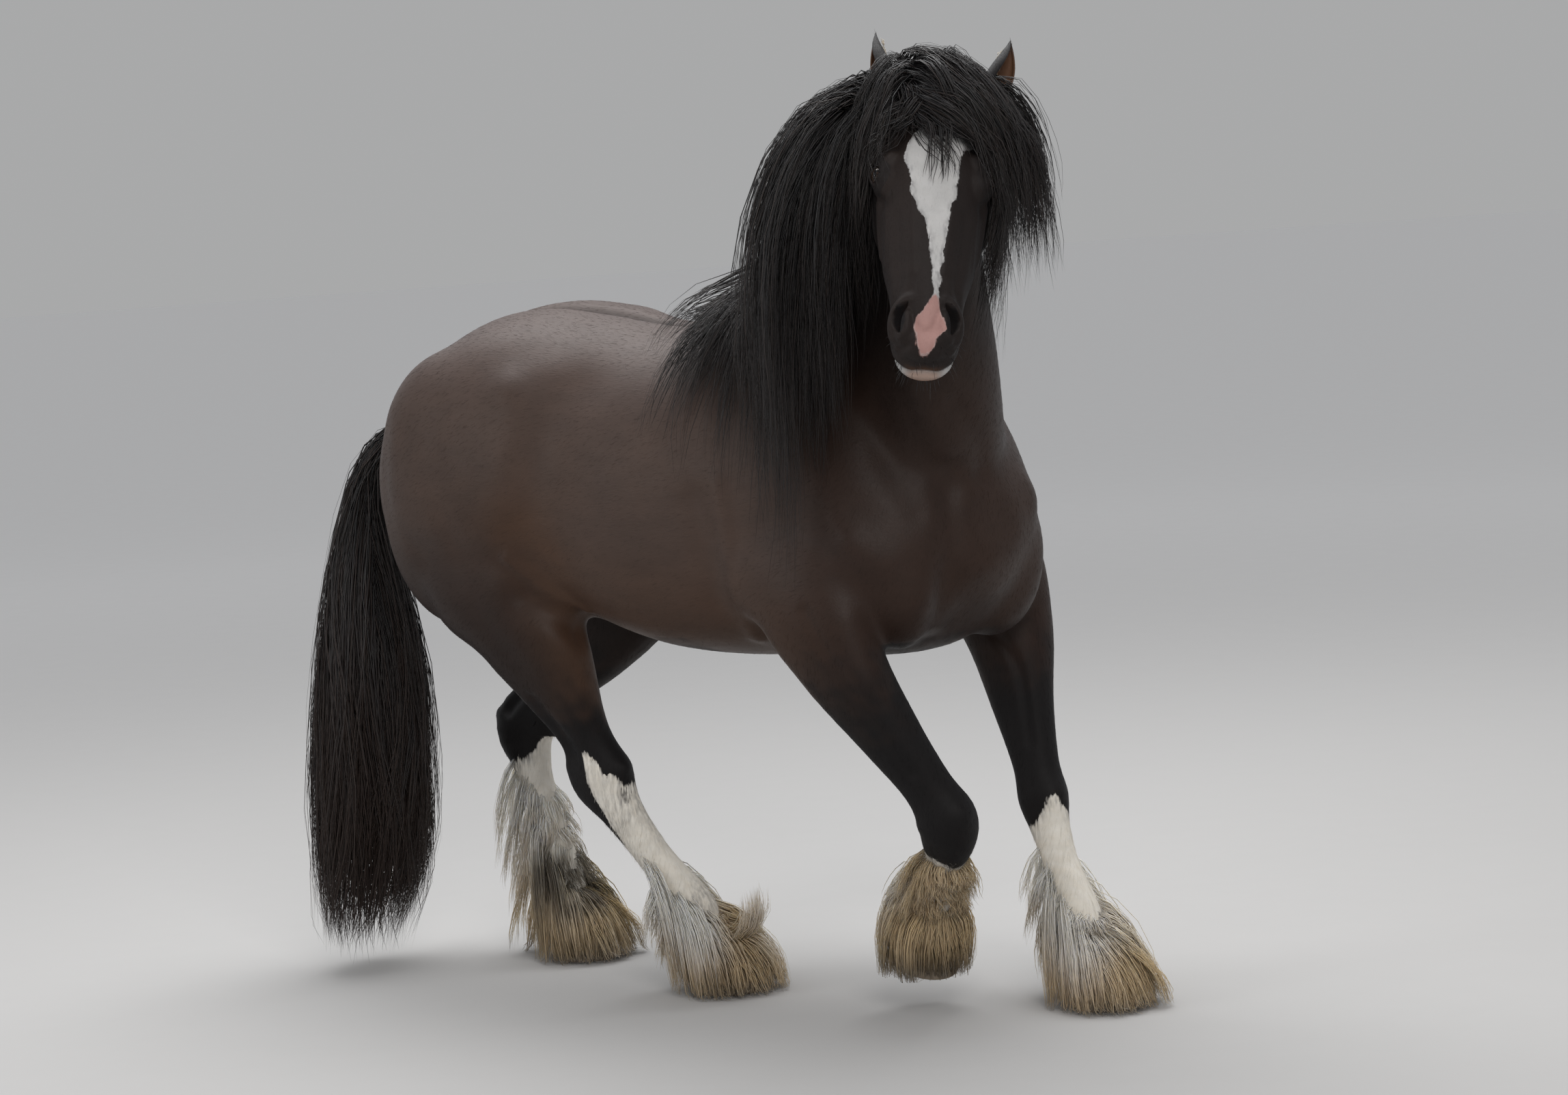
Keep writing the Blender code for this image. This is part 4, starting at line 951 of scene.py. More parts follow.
coatColours = {
    # the pale grey-brown for the coat's top is a painted sheen
    "bay": (0.066, 0.041, 0.031), "bayDull": (0.050, 0.032, 0.025), "paintedSheen": (0.086, 0.064, 0.058),
    "warm": (0.060, 0.029, 0.015), "deep": (0.021, 0.0105, 0.0070), "black": (0.0055, 0.0044, 0.0046),
    "white": (0.74, 0.72, 0.67), "pink": (0.35, 0.185, 0.162), "cream": (0.56, 0.45, 0.30),
    # the face's white is the legs' white hair made darker, as painted shade
    "faceWhitePaintedShade": (0.39, 0.39, 0.395), "amber": (0.25, 0.105, 0.040), "roan": (0.085, 0.080, 0.085),
}


coatMarks = ("white", "black", "top", "warm", "deep", "pink", "amber", "head")


def makeCoatColour():
    # colour of the short coat from its markings, with soft mottling, a painted sheen on its top and painted
    # shade on the face's white
    inputs = [(name.capitalize(), "NodeSocketFloat", 0.0) for name in (*coatMarks, "vary")]
    group, take, out = newGroup("coatColour", inputs, [("Color", "NodeSocketColor"),
                                                       ("Rough", "NodeSocketFloat")])
    mottle = stretchedNoise(group, 6.0, 4.0)
    fine = stretchedNoise(group, 70.0, 3.0, (0.4, 1, 1))
    blotch = maths(group, "MULTIPLY_ADD", mottle, 2.2, -0.60)
    colour = mixColour(group, blotch, coatColours["bayDull"], coatColours["bay"])
    # the top's paler grey-brown is a painted sheen
    for label, amount, tone in (("Top", 0.75, "paintedSheen"), ("Warm", 0.75, "warm"), ("Deep", 0.85, "deep")):
        colour = mixColour(group, maths(group, "MULTIPLY", take[label], amount), colour, coatColours[tone])
    colour = mixColour(group, take["Black"], colour, coatColours["black"])
    pale = mixColour(group, fine, coatColours["white"], coatColours["cream"])
    pale = mixColour(group, 0.40, coatColours["white"], pale)
    # the face's white is the legs' white made darker: painted shade
    pale = mixColour(group, maths(group, "MULTIPLY", take["Head"], 0.85), pale, coatColours["faceWhitePaintedShade"])
    ragged = maths(group, "MULTIPLY_ADD", stretchedNoise(group, 260.0, 3.0, (1, 1, 0.22)), 0.30, -0.15)
    white = maths(group, "MULTIPLY_ADD", maths(group, "ADD", take["White"], ragged), 14.0, -6.5)
    pink = maths(group, "MULTIPLY_ADD", maths(group, "ADD", take["Pink"], ragged), 6.0, -2.5)
    white.node.use_clamp = pink.node.use_clamp = True
    streaks = maths(group, "MULTIPLY_ADD", stretchedNoise(group, 150.0, 4.0, (1, 1, 0.18)), 3.2, -1.25)
    fade = maths(group, "MULTIPLY_ADD", take["White"], -2.6, 2.35)
    streaks.node.use_clamp = fade.node.use_clamp = True
    streaks = maths(group, "MULTIPLY", maths(group, "MULTIPLY", streaks, fade), 0.75)
    pale = mixColour(group, streaks, pale, coatColours["roan"])
    colour = mixColour(group, white, colour, pale)
    colour = mixColour(group, maths(group, "MULTIPLY", pink, 0.9), colour, coatColours["pink"])
    colour = mixColour(group, maths(group, "MULTIPLY", take["Amber"], 0.8), colour, coatColours["amber"])
    shade = maths(group, "MULTIPLY_ADD", take["Vary"], 0.34, 0.76)
    colour = mixColour(group, shade, (0.0, 0.0, 0.0), colour)
    rough = maths(group, "MULTIPLY_ADD", maths(group, "MAXIMUM", take["Black"], take["White"]), 0.16, 0.46)
    feed(group, out, {"Color": colour, "Rough": maths(group, "MULTIPLY_ADD", fine, 0.10, rough)})
    return group


coatColour = makeCoatColour()


def coatMaterial(name):
    made, tree, shader = newMaterial(name)
    node = addNode(tree, "ShaderNodeGroup", node_tree=coatColour)
    feed(tree, node, {mark.capitalize(): attributeNode(tree, mark) for mark in coatMarks})
    feed(tree, shader, {"Base Color": node.outputs["Color"], "Roughness": node.outputs["Rough"],
                        "Specular IOR Level": 0.19, "Sheen Weight": 0.025, "Sheen Roughness": 0.45})
    return made, tree, shader, node


def makeSkinMaterial():
    made, tree, shader, node = coatMaterial("short coat")
    feed(tree, node, {"Vary": stretchedNoise(tree, 24.0, 5.0, (0.5, 1.4, 1.4))})
    bodyHair = stretchedNoise(tree, 330.0, 3.0, (0.14, 1.0, 0.60))
    legHair = stretchedNoise(tree, 330.0, 3.0, (1.0, 1.0, 0.12))
    pick = addNode(tree, "ShaderNodeMix", {0: attributeNode(tree, "leg"), 2: bodyHair, 3: legHair})
    feed(tree, shader, {"Normal": bumped(tree, pick.outputs[0], 0.22, 0.0022),
                        "Sheen Tint": (0.85, 0.88, 0.95)})
    return made


def makeTuftMaterial():
    made, tree, shader, node = coatMaterial("short coat tufts")
    feed(tree, node, {"Vary": attributeNode(tree, "chance")})
    grain = stretchedNoise(tree, 900.0, 2.0, (0.2, 1.0, 1.0))
    feed(tree, shader, {"Normal": bumped(tree, grain, 0.2, 0.0005)})
    return made


hairTones = {
    "mane": {"Root": (0.0070, 0.0068, 0.0080), "Tip": (0.0125, 0.0090, 0.0080),
             "Pale": (0.024, 0.014, 0.010)},
    "tail": {"Root": (0.0055, 0.0050, 0.0055), "Tip": (0.030, 0.0150, 0.0095),
             "Pale": (0.026, 0.0145, 0.0100)},
    "feather": {"Root": (0.80, 0.76, 0.66), "Tip": (0.50, 0.33, 0.155), "Pale": (0.86, 0.83, 0.76)},
}
hairRough = {"mane": 0.40, "tail": 0.42, "feather": 0.55}
featherDark = (0.035, 0.024, 0.016)


def makeHairColour():
    # strands shade from root to tip, some are paler than others, and some carry stains or dark ends
    inputs = [(label, "NodeSocketColor", (0.5, 0.5, 0.5, 1.0)) for label in ("Root", "Tip", "Pale")]
    inputs += [(label, "NodeSocketFloat", 0.0) for label in ("Along", "Chance", "Stain", "Dark", "Roughness")]
    outputs = [("Color", "NodeSocketColor"), ("Rough", "NodeSocketFloat"), ("Ridges", "NodeSocketFloat")]
    group, take, out = newGroup("hairColour", inputs, outputs)
    colour = mixColour(group, maths(group, "POWER", take["Along"], 3.0), take["Root"], take["Tip"])
    some = maths(group, "POWER", take["Chance"], 3.0)
    colour = mixColour(group, maths(group, "MULTIPLY", some, 0.7), colour, take["Pale"])
    colour = mixColour(group, take["Stain"], colour, take["Tip"])
    colour = mixColour(group, take["Dark"], colour, featherDark)
    ridges = stretchedNoise(group, 700.0, 3.0, (1, 1, 0.15))
    rough = maths(group, "MULTIPLY_ADD", take["Chance"], 0.14, take["Roughness"])
    feed(group, out, {"Color": colour, "Rough": maths(group, "MULTIPLY_ADD", ridges, 0.10, rough),
                      "Ridges": ridges})
    return group


hairColour = makeHairColour()


def makeHairMaterial(kind):
    made, tree, shader = newMaterial(f"{kind} hair")
    node = addNode(tree, "ShaderNodeGroup", node_tree=hairColour)
    marks = ("along", "chance", "stain", "dark") if kind == "feather" else ("along", "chance")
    feed(tree, node, {mark.capitalize(): attributeNode(tree, mark) for mark in marks})
    feed(tree, node, {**hairTones[kind], "Roughness": hairRough[kind] - 0.07})
    feed(tree, shader, {"Base Color": node.outputs["Color"], "Roughness": node.outputs["Rough"],
                        "Normal": bumped(tree, node.outputs["Ridges"], 0.25, 0.0006),
                        "Specular IOR Level": 0.40})
    if kind == "feather":
        feed(tree, shader, {"Subsurface Weight": 0.55, "Subsurface Radius": (1.0, 0.75, 0.45),
                            "Subsurface Scale": 0.010})
    return made


def makeHornMaterial():
    made, tree, shader = newMaterial("hoof horn")
    rings = stretchedNoise(tree, 14.0, 4.0, (1, 1, 16))
    streaks = stretchedNoise(tree, 60.0, 3.0, (1, 1, 0.12))
    colour = mixColour(tree, rings, (0.10, 0.075, 0.050), (0.26, 0.20, 0.135))
    colour = mixColour(tree, maths(tree, "MULTIPLY", streaks, 0.6), colour, (0.055, 0.042, 0.030))
    feed(tree, shader, {"Base Color": colour, "Roughness": maths(tree, "MULTIPLY_ADD", streaks, 0.20, 0.45),
                        "Normal": bumped(tree, rings, 0.4, 0.002)})
    return made


skinMaterial, tuftMaterial = makeSkinMaterial(), makeTuftMaterial()
maneMaterial, tailMaterial, featherMaterial = (makeHairMaterial(kind) for kind in ("mane", "tail", "feather"))
hornMaterial = makeHornMaterial()
print("materials done")


# long hair

def fallPath(surface, start, heading, length, lift, weight, steps=14):
    # hair that leaves its root, sinks under its weight and lies on what it meets
    path, point, heading = [Vector(start)], Vector(start), Vector(heading).normalized()
    for k in range(steps):
        heading = (heading + Vector((0, 0, -weight))).normalized()
        point = point + heading * length / steps
        place, normal = surface.find_nearest(point)[:2]
        if (point - place).dot(normal) < lift:
            point = place + normal * lift
        heading = (heading * 0.4 + (point - path[-1]).normalized() * 0.6).normalized()
        path.append(point)
    return [tuple(p) for p in path]


def resampled(paths, count):
    paths = np.asarray(paths, float)
    place = np.linspace(0, paths.shape[1] - 1, count)
    k = np.minimum(place.astype(int), paths.shape[1] - 2)
    part = (place - k)[None, :, None]
    return paths[:, k] * (1 - part) + paths[:, k + 1] * part


def strandArrays(guides, outs, look, seed):
    # many thin tapered strands round each guide path, gathered into locks towards the tips
    chance = np.random.default_rng(seed)
    rings, each = look["rings"], look["strands"]
    line = resampled(guides, 24)
    run = unit(np.gradient(line, axis=1))
    still = np.ndim(outs) == 2
    outs = np.broadcast_to(np.asarray(outs, float)[:, None, :], line.shape) if still else resampled(outs, 24)
    side = unit(np.cross(run, outs))
    out = np.cross(side, run)
    count = len(line) * each
    which = np.repeat(np.arange(len(line)), each)
    reach = chance.uniform(look["shortest"], 1.0, count)
    wisps = look.get("wisps", 7)
    wisp = which * wisps + chance.integers(0, wisps, count)
    every = len(line) * wisps
    angle, radius = chance.uniform(0, 2 * pi, every), np.sqrt(chance.uniform(0, 1, every))
    wispSide, wispOut = (np.cos(angle) * radius)[wisp], (np.sin(angle) * radius)[wisp]
    angle, radius = chance.uniform(0, 2 * pi, count), np.sqrt(chance.uniform(0, 1, count))
    stray = np.where(chance.random(count) < look["stray"], 2.4, 1.0)
    ownSide, ownOut = 0.42 * np.cos(angle) * radius * stray, 0.42 * np.sin(angle) * radius * stray
    t = np.linspace(0, 1, rings)[None, :] * reach[:, None]
    place = t * 23
    k = np.minimum(place.astype(int), 22)
    part = (place - k)[..., None]
    rows = which[:, None]
    centre, across, off = (axis[rows, k] * (1 - part) + axis[rows, k + 1] * part for axis in (line, side,
                                                                                              out))
    spread = look["rootSpread"] + (1 - look["rootSpread"]) * np.clip(t * 3.5, 0, 1)
    own = 1 - look["gather"] * t ** 1.3
    offSide = look["halfWidth"] * (wispSide[:, None] + ownSide[:, None] * own) * spread
    offOut = look["halfThick"] * (wispOut[:, None] + ownOut[:, None] * own) * spread
    phase, pace = chance.uniform(0, 2 * pi, (count, 1)), chance.uniform(0.8, 1.3, (count, 1))
    lockPhase = (chance.uniform(0, 2 * pi, len(line))[which]
                 + chance.uniform(-0.9, 0.9, len(line) * wisps)[wisp])[:, None]
    wave = look["wave"] * t * (0.6 * np.sin(look["waves"] * 2 * pi * t + lockPhase)
                               + 0.4 * np.sin(look["waves"] * 2 * pi * t * pace + phase))
    lift = 0.6 * look["wave"] * t * np.cos(look["waves"] * 2 * pi * t * pace + phase * 1.7)
    points = centre + across * (offSide + wave)[..., None] + off * (offOut + lift)[..., None]
    along = np.linspace(0, 1, rings)[None, :]
    width = look["strandWidth"] * chance.uniform(0.7, 1.3, (count, 1))
    width = width * (0.75 + 0.25 * np.clip(along * 5, 0, 1)) * (1 - along ** 2.5) ** 0.7
    twist = chance.uniform(-0.6, 0.6, (count, 1, 1))
    flat, tall = unit(across + off * twist), unit(off - across * twist)
    body = np.stack([points + flat * width[..., None], points + tall * width[..., None] * 0.45,
                     points - flat * width[..., None]], 2)[:, :-1]
    verts = np.concatenate([body.reshape(count, -1, 3), points[:, -1:]], 1)
    per = verts.shape[1]
    verts[..., 2] = np.maximum(verts[..., 2], look.get("floor", -9.0))
    ring = np.arange(rings - 2)[:, None] * 3
    a = np.concatenate([ring + j for j in range(3)], 1).ravel()
    b = np.concatenate([ring + (j + 1) % 3 for j in range(3)], 1).ravel()
    quad = np.stack([a, b, b + 3, a + 3], 1)
    last = (rings - 2) * 3
    tri = np.array([(last, last + 1, per - 1), (last + 1, last + 2, per - 1), (last + 2, last, per - 1),
                    (2, 1, 0)])
    shift = np.arange(count)[:, None, None] * per
    alongPoint = np.concatenate([np.repeat(np.linspace(0, 1, rings)[:-1], 3), [1.0]])
    local = np.stack([np.concatenate([np.tile([0.0, 0.5, 1.0], rings - 1), [0.5]]), alongPoint], 1)
    return {
        "points": verts, "quads": quad[None] + shift, "tris": tri[None] + shift, "roots": line[which, 0],
        "along": alongPoint, "chance": chance.random(count), "local": local, "guide": which,
    }


hairLimits = {"right": cadBox[0][1] - moved.y + 0.035, "left": cadBox[1][1] - moved.y - 0.035,
              "ahead": cadBox[1][0] - moved.x + 0.010}


def hairPiece(name, guides, outs, look, seed, material, extra=None):
    guides = np.array(guides, float)
    guides[..., 1] = np.clip(guides[..., 1], hairLimits["right"], hairLimits["left"])
    guides[..., 0] = np.minimum(guides[..., 0], hairLimits["ahead"])
    made = strandArrays(guides, outs, look, seed)
    count, per = made["points"].shape[:2]
    points, quads, tris = (made[key].reshape(-1, n) for key, n in (("points", 3), ("quads", 4), ("tris", 3)))
    mesh = meshFromArrays(name, points, quads, tris)
    along, chances = np.tile(made["along"], count), np.repeat(made["chance"], per)
    guideUv = rootUvs(guides[:, 0])
    chance = np.random.default_rng(seed + 99)
    rootUv = guideUv[made["guide"]] + chance.uniform(-0.002, 0.002, (count, 2))
    uv = rootUv[:, None, :] + made["local"][None] * 0.003
    corners = readArray(mesh.loops, "vertex_index", 1, np.int32)[:, 0]
    layer = mesh.uv_layers.new(name="OFBake")
    layer.data.foreach_set("uv", np.clip(uv.reshape(-1, 2)[corners], 0, 1).astype(np.float32).ravel())
    given = extra(points, along, chances) if extra else {}
    for label, values in {"along": along, "chance": chances, **given}.items():
        setAttribute(mesh, label, values)
    mesh.materials.append(material)
    mesh.shade_smooth()
    print(name, count, "strands")
    return newObject(name, mesh)


def hairLook(sizes, **more):
    strands = max(3, int(sizes["look"]["strands"] * (1.0)))
    return {**sizes["look"], "strands": strands, **more}


# mane

maneSizes = {
    # side, guides, length, first and last place on the crest, rise, weight, distance off the skin, half width
    "layers": [
        (-1, 34, 0.52, 0.00, 0.97, 0.10, 0.80, 0.010, 0.042),
        (-1, 40, 0.82, 0.00, 0.98, 0.24, 0.72, 0.030, 0.044),
        (-1, 44, 0.98, 0.00, 1.00, 0.44, 0.56, 0.056, 0.044),
        (1, 18, 0.36, 0.00, 0.42, 0.10, 0.85, 0.012, 0.038),
        (1, 26, 0.50, 0.00, 0.30, 0.34, 0.64, 0.034, 0.038),
    ],
    "look": {"rings": 9, "strands": 56, "strandWidth": 0.0015, "rootSpread": 0.7, "gather": 0.50,
             "wave": 0.022,
             "waves": 1.30, "shortest": 0.50, "stray": 0.12, "wisps": 11},
}


def crestPoint(t):
    rows = smoothRows([row[0] for row in reversed(neckStations[1:])], 12)
    place = t * (len(rows) - 1)
    k = min(int(place), len(rows) - 2)
    return Vector(rows[k] + (rows[k + 1] - rows[k]) * (place - k))


def neckSide(t, side):
    run = crestPoint(min(t + 0.05, 1.0)) - crestPoint(max(t - 0.05, 0.0))
    return Vector((run.y, -run.x, 0)).normalized() * side


def makeMane(surface):
    chance = np.random.default_rng(11)
    pieces = []
    for n, (side, count, reach, first, last, rise, weight, lift, half) in enumerate(maneSizes["layers"]):
        guides, outs = [], []
        for k in range(count):
            t = first + (last - first) * (k + 0.5 + chance.uniform(-0.45, 0.45)) / count
            out = neckSide(t, side)
            back = -0.05 - 1.0 * max(t - 0.60, 0) + chance.uniform(-0.22, 0.22)
            high = float(softStep(0.10, 0.60, t))
            heading = out + Vector((back, 0, (rise + chance.uniform(-0.1, 0.15)) * (1 - 0.72 * high)))
            start = crestPoint(t) - Vector((0, 0, 0.030)) - out * 0.010
            length = reach * (1.0 - 0.40 * max(t - 0.5, 0) / 0.5) * chance.uniform(0.70, 1.06)
            fall = (weight + 0.30 * high * (side < 0)) * chance.uniform(0.85, 1.15) * 10 / 14
            guides.append(fallPath(surface, start, heading, length, lift + chance.uniform(-0.006, 0.012),
                                   fall))
            outs.append(tuple(out))
        look = hairLook(maneSizes, halfWidth=half, halfThick=half * 0.55)
        pieces.append(hairPiece(f"mane_{sides[side]}_{n + 1}", guides, outs, look, 40 + n, maneMaterial))
    return pieces


forelockSizes = {
    "guides": 126,
    "look": {"rings": 9, "strands": 33, "strandWidth": 0.0013, "halfWidth": 0.024, "halfThick": 0.010,
             "rootSpread": 0.85, "gather": 0.45, "wave": 0.012, "waves": 1.2, "shortest": 0.50, "stray": 0.12,
             "wisps": 9},
    # guide paths in the head's own axes: start, then points they pass; share of the guides
    "paths": [
        (4, [(10, -45, 50), (20, 0, 118), (85, 78, 112), (185, 138, 62), (330, 168, 0)]),
        (4, [(30, -55, 60), (60, -15, 118), (105, 50, 112), (165, 108, 80), (290, 150, 30)]),
        (3, [(45, -50, 70), (76, -20, 114), (98, 36, 112), (124, 92, 94), (205, 145, 52)]),
        (3, [(-10, -30, 30), (-22, 20, 108), (62, 108, 90), (180, 185, 40), (330, 210, -40)]),
        (3, [(-20, 0, 20), (-20, 45, 90), (65, 140, 55), (175, 215, 5), (310, 240, -70)]),
        (6, [(0, 50, 30), (10, 98, 60), (100, 135, 20), (240, 132, -30), (420, 125, -75)]),
        (5, [(0, 55, 10), (30, 105, 20), (130, 140, -30), (300, 125, -80), (520, 118, -105)]),
        (4, [(10, 55, 15), (80, 104, 10), (190, 132, -20), (330, 122, -55), (460, 108, -85)]),
        (3, [(10, 50, 0), (80, 100, -20), (200, 128, -60), (360, 112, -90), (500, 98, -120)]),
        (3, [(0, -80, 35), (0, -45, 98), (45, 15, 126), (120, 85, 108), (230, 140, 50)]),
        (2, [(-30, -70, 20), (-35, -35, 85), (10, 35, 118), (90, 120, 95), (220, 180, 30)]),
        (3, [(10, -20, 55), (5, -70, 98), (70, -118, 62), (190, -132, 10), (360, -140, -40)]),
        (2, [(-10, -30, 40), (-30, -95, 70), (50, -142, 30), (200, -152, -20), (420, -156, -60)]),
        (2, [(40, -20, 75), (80, -55, 100), (112, -72, 92), (150, -92, 72), (215, -118, 36)]),
        (1, [(50, -45, 78), (90, -30, 108), (112, -8, 106), (132, 20, 102), (150, 50, 94)]),
        (2, [(20, -30, 60), (45, -12, 104), (70, 12, 116), (94, 50, 112), (120, 90, 98)]),
        (2, [(20, -60, 60), (50, -48, 98), (74, -40, 106), (96, -40, 104), (118, -58, 94)]),
        (1, [(45, -30, 80), (90, -20, 112), (130, -8, 108), (190, 6, 102), (265, 18, 92)]),
    ],
}


def liftedOff(surface, points, lift):
    # keeps the points of a path at least this far off the skin
    made = []
    for point in points:
        place, normal = surface.find_nearest(Vector(point))[:2]
        short = lift - (Vector(point) - place).dot(normal)
        made.append(tuple(Vector(point) + normal * short) if short > 0 else tuple(point))
    return np.array(made)


def makeForelock(surface):
    chance = np.random.default_rng(5)
    turn = np.array(headFrame.to_3x3())
    start = np.array(headFrame.translation)
    guides, outs = [], []
    paths = [np.array(metres(path)) for times, path in forelockSizes["paths"] for _ in range(times)]
    for k in range(forelockSizes["guides"]):
        mine, other = paths[k % len(paths)], paths[(k + 1) % len(paths)]
        mixed = mine + (other - mine) * chance.uniform(0.0, 0.30)
        mixed = mixed + chance.normal(size=(5, 3)) * np.array([[0.008], [0.008], [0.009], [0.012], [0.018]])
        mixed[4] = mixed[3] + (mixed[4] - mixed[3]) * chance.uniform(0.55, 1.15)
        line = resampled(smoothRows(mixed, 4)[None], 15)[0]
        out = line - np.array([0.10, 0.0, -0.02])
        out /= np.linalg.norm(out, axis=1)[:, None]
        guides.append(liftedOff(surface, line @ turn.T + start, 0.008 + 0.010 * chance.random()))
        outs.append(out @ turn.T)
    return hairPiece("forelock", guides, np.array(outs), hairLook(forelockSizes), 61, maneMaterial)


# tail

tailStations = metres([    # centre, half width across, half width fore and aft
    ((-800, -85, 1230), 26, 26), ((-880, -100, 1215), 30, 30),
    ((-955, -110, 1140), 40, 36), ((-985, -118, 1000), 60, 52),
    ((-990, -122, 840), 110, 95), ((-992, -128, 650), 142, 120),
    ((-1000, -135, 440), 158, 122), ((-1012, -142, 240), 158, 112),
    ((-1030, -155, 90), 125, 85), ((-1045, -170, 15), 85, 60),
])
tailSizes = {
    "guides": 112,
    "look": {"rings": 9, "strands": 44, "strandWidth": 0.0016, "halfWidth": 0.034, "halfThick": 0.020,
             "rootSpread": 0.5, "gather": 0.50, "wave": 0.024, "waves": 1.9, "shortest": 0.60, "stray": 0.12,
             "floor": 0.002, "wisps": 9},
}


def makeTail():
    chance = np.random.default_rng(3)
    rows = smoothRows([(*centre, across, fore) for centre, across, fore in tailStations], 6)
    last = len(rows) - 1
    pieces = []
    for part in range(2):
        guides, outs = [], []
        for k in range(part, tailSizes["guides"], 2):
            turn = 2 * pi * k * 0.382 + chance.uniform(-0.2, 0.2)
            start = 2 + (k % 7) * 3.2
            stop = last * chance.uniform(0.86, 0.998)
            depth = chance.uniform(0.35, 1.0) ** 0.5
            phase = chance.uniform(0, 2 * pi)
            path, out = [], []
            for j in range(12):
                place = start + (stop - start) * j / 11
                i = min(int(place), last - 1)
                row = rows[i] + (rows[i + 1] - rows[i]) * (place - i)
                spread = min(1.0, 0.35 + 0.14 * j) * depth
                sway = turn + 0.20 * sin(phase + j * 0.7)
                path.append((row[0] + cos(sway) * row[4] * spread, row[1] + sin(sway) * row[3] * spread,
                             max(row[2] + 0.02 * (11 - j) / 11, 0.012)))
                out.append((cos(sway), sin(sway), 0.05))
            guides.append(path)
            outs.append(out)
        look = hairLook(tailSizes)
        pieces.append(hairPiece(f"tail_{part + 1}", guides, np.array(outs), look, 70 + part, tailMaterial))
    return pieces


# feather

featherSizes = {
    # for each leg: where the long hair starts behind the cannon and how much lower in front, its length,
    # how far it stands off, the bell's reach in front, how much it draws in, and how high its stain climbs
    "names": ("first", "lower", "length", "off", "toe", "draw", "stain"),
    "legs": {
        "fore_left": (6.2, 1.9, 0.21, 0.16, 0.018, 1.0, 0.23), "fore_right": (6.3, 0.5, 0.17, 0.55, 0.0, 0.82,
                                                                              0.22),
        "hind_right": (7.4, 1.2, 0.13, 0.25, 0.012, 1.0, 0.15), "hind_left": (5.6, 1.0, 0.32, 0.34, 0.012,
                                                                              1.0, 0.30),
    },
    "cannonGuides": 54, "cannonLast": 8.3, "bellGuides": 66, "bellNear": 0.084, "bellFar": 0.122,
    "look": {"rings": 6, "strands": 29, "strandWidth": 0.00125, "halfWidth": 0.022, "halfThick": 0.008,
             "rootSpread": 0.9, "gather": 0.30, "wave": 0.011, "waves": 0.9, "shortest": 0.70, "stray": 0.14,
             "wisps": 14},
}


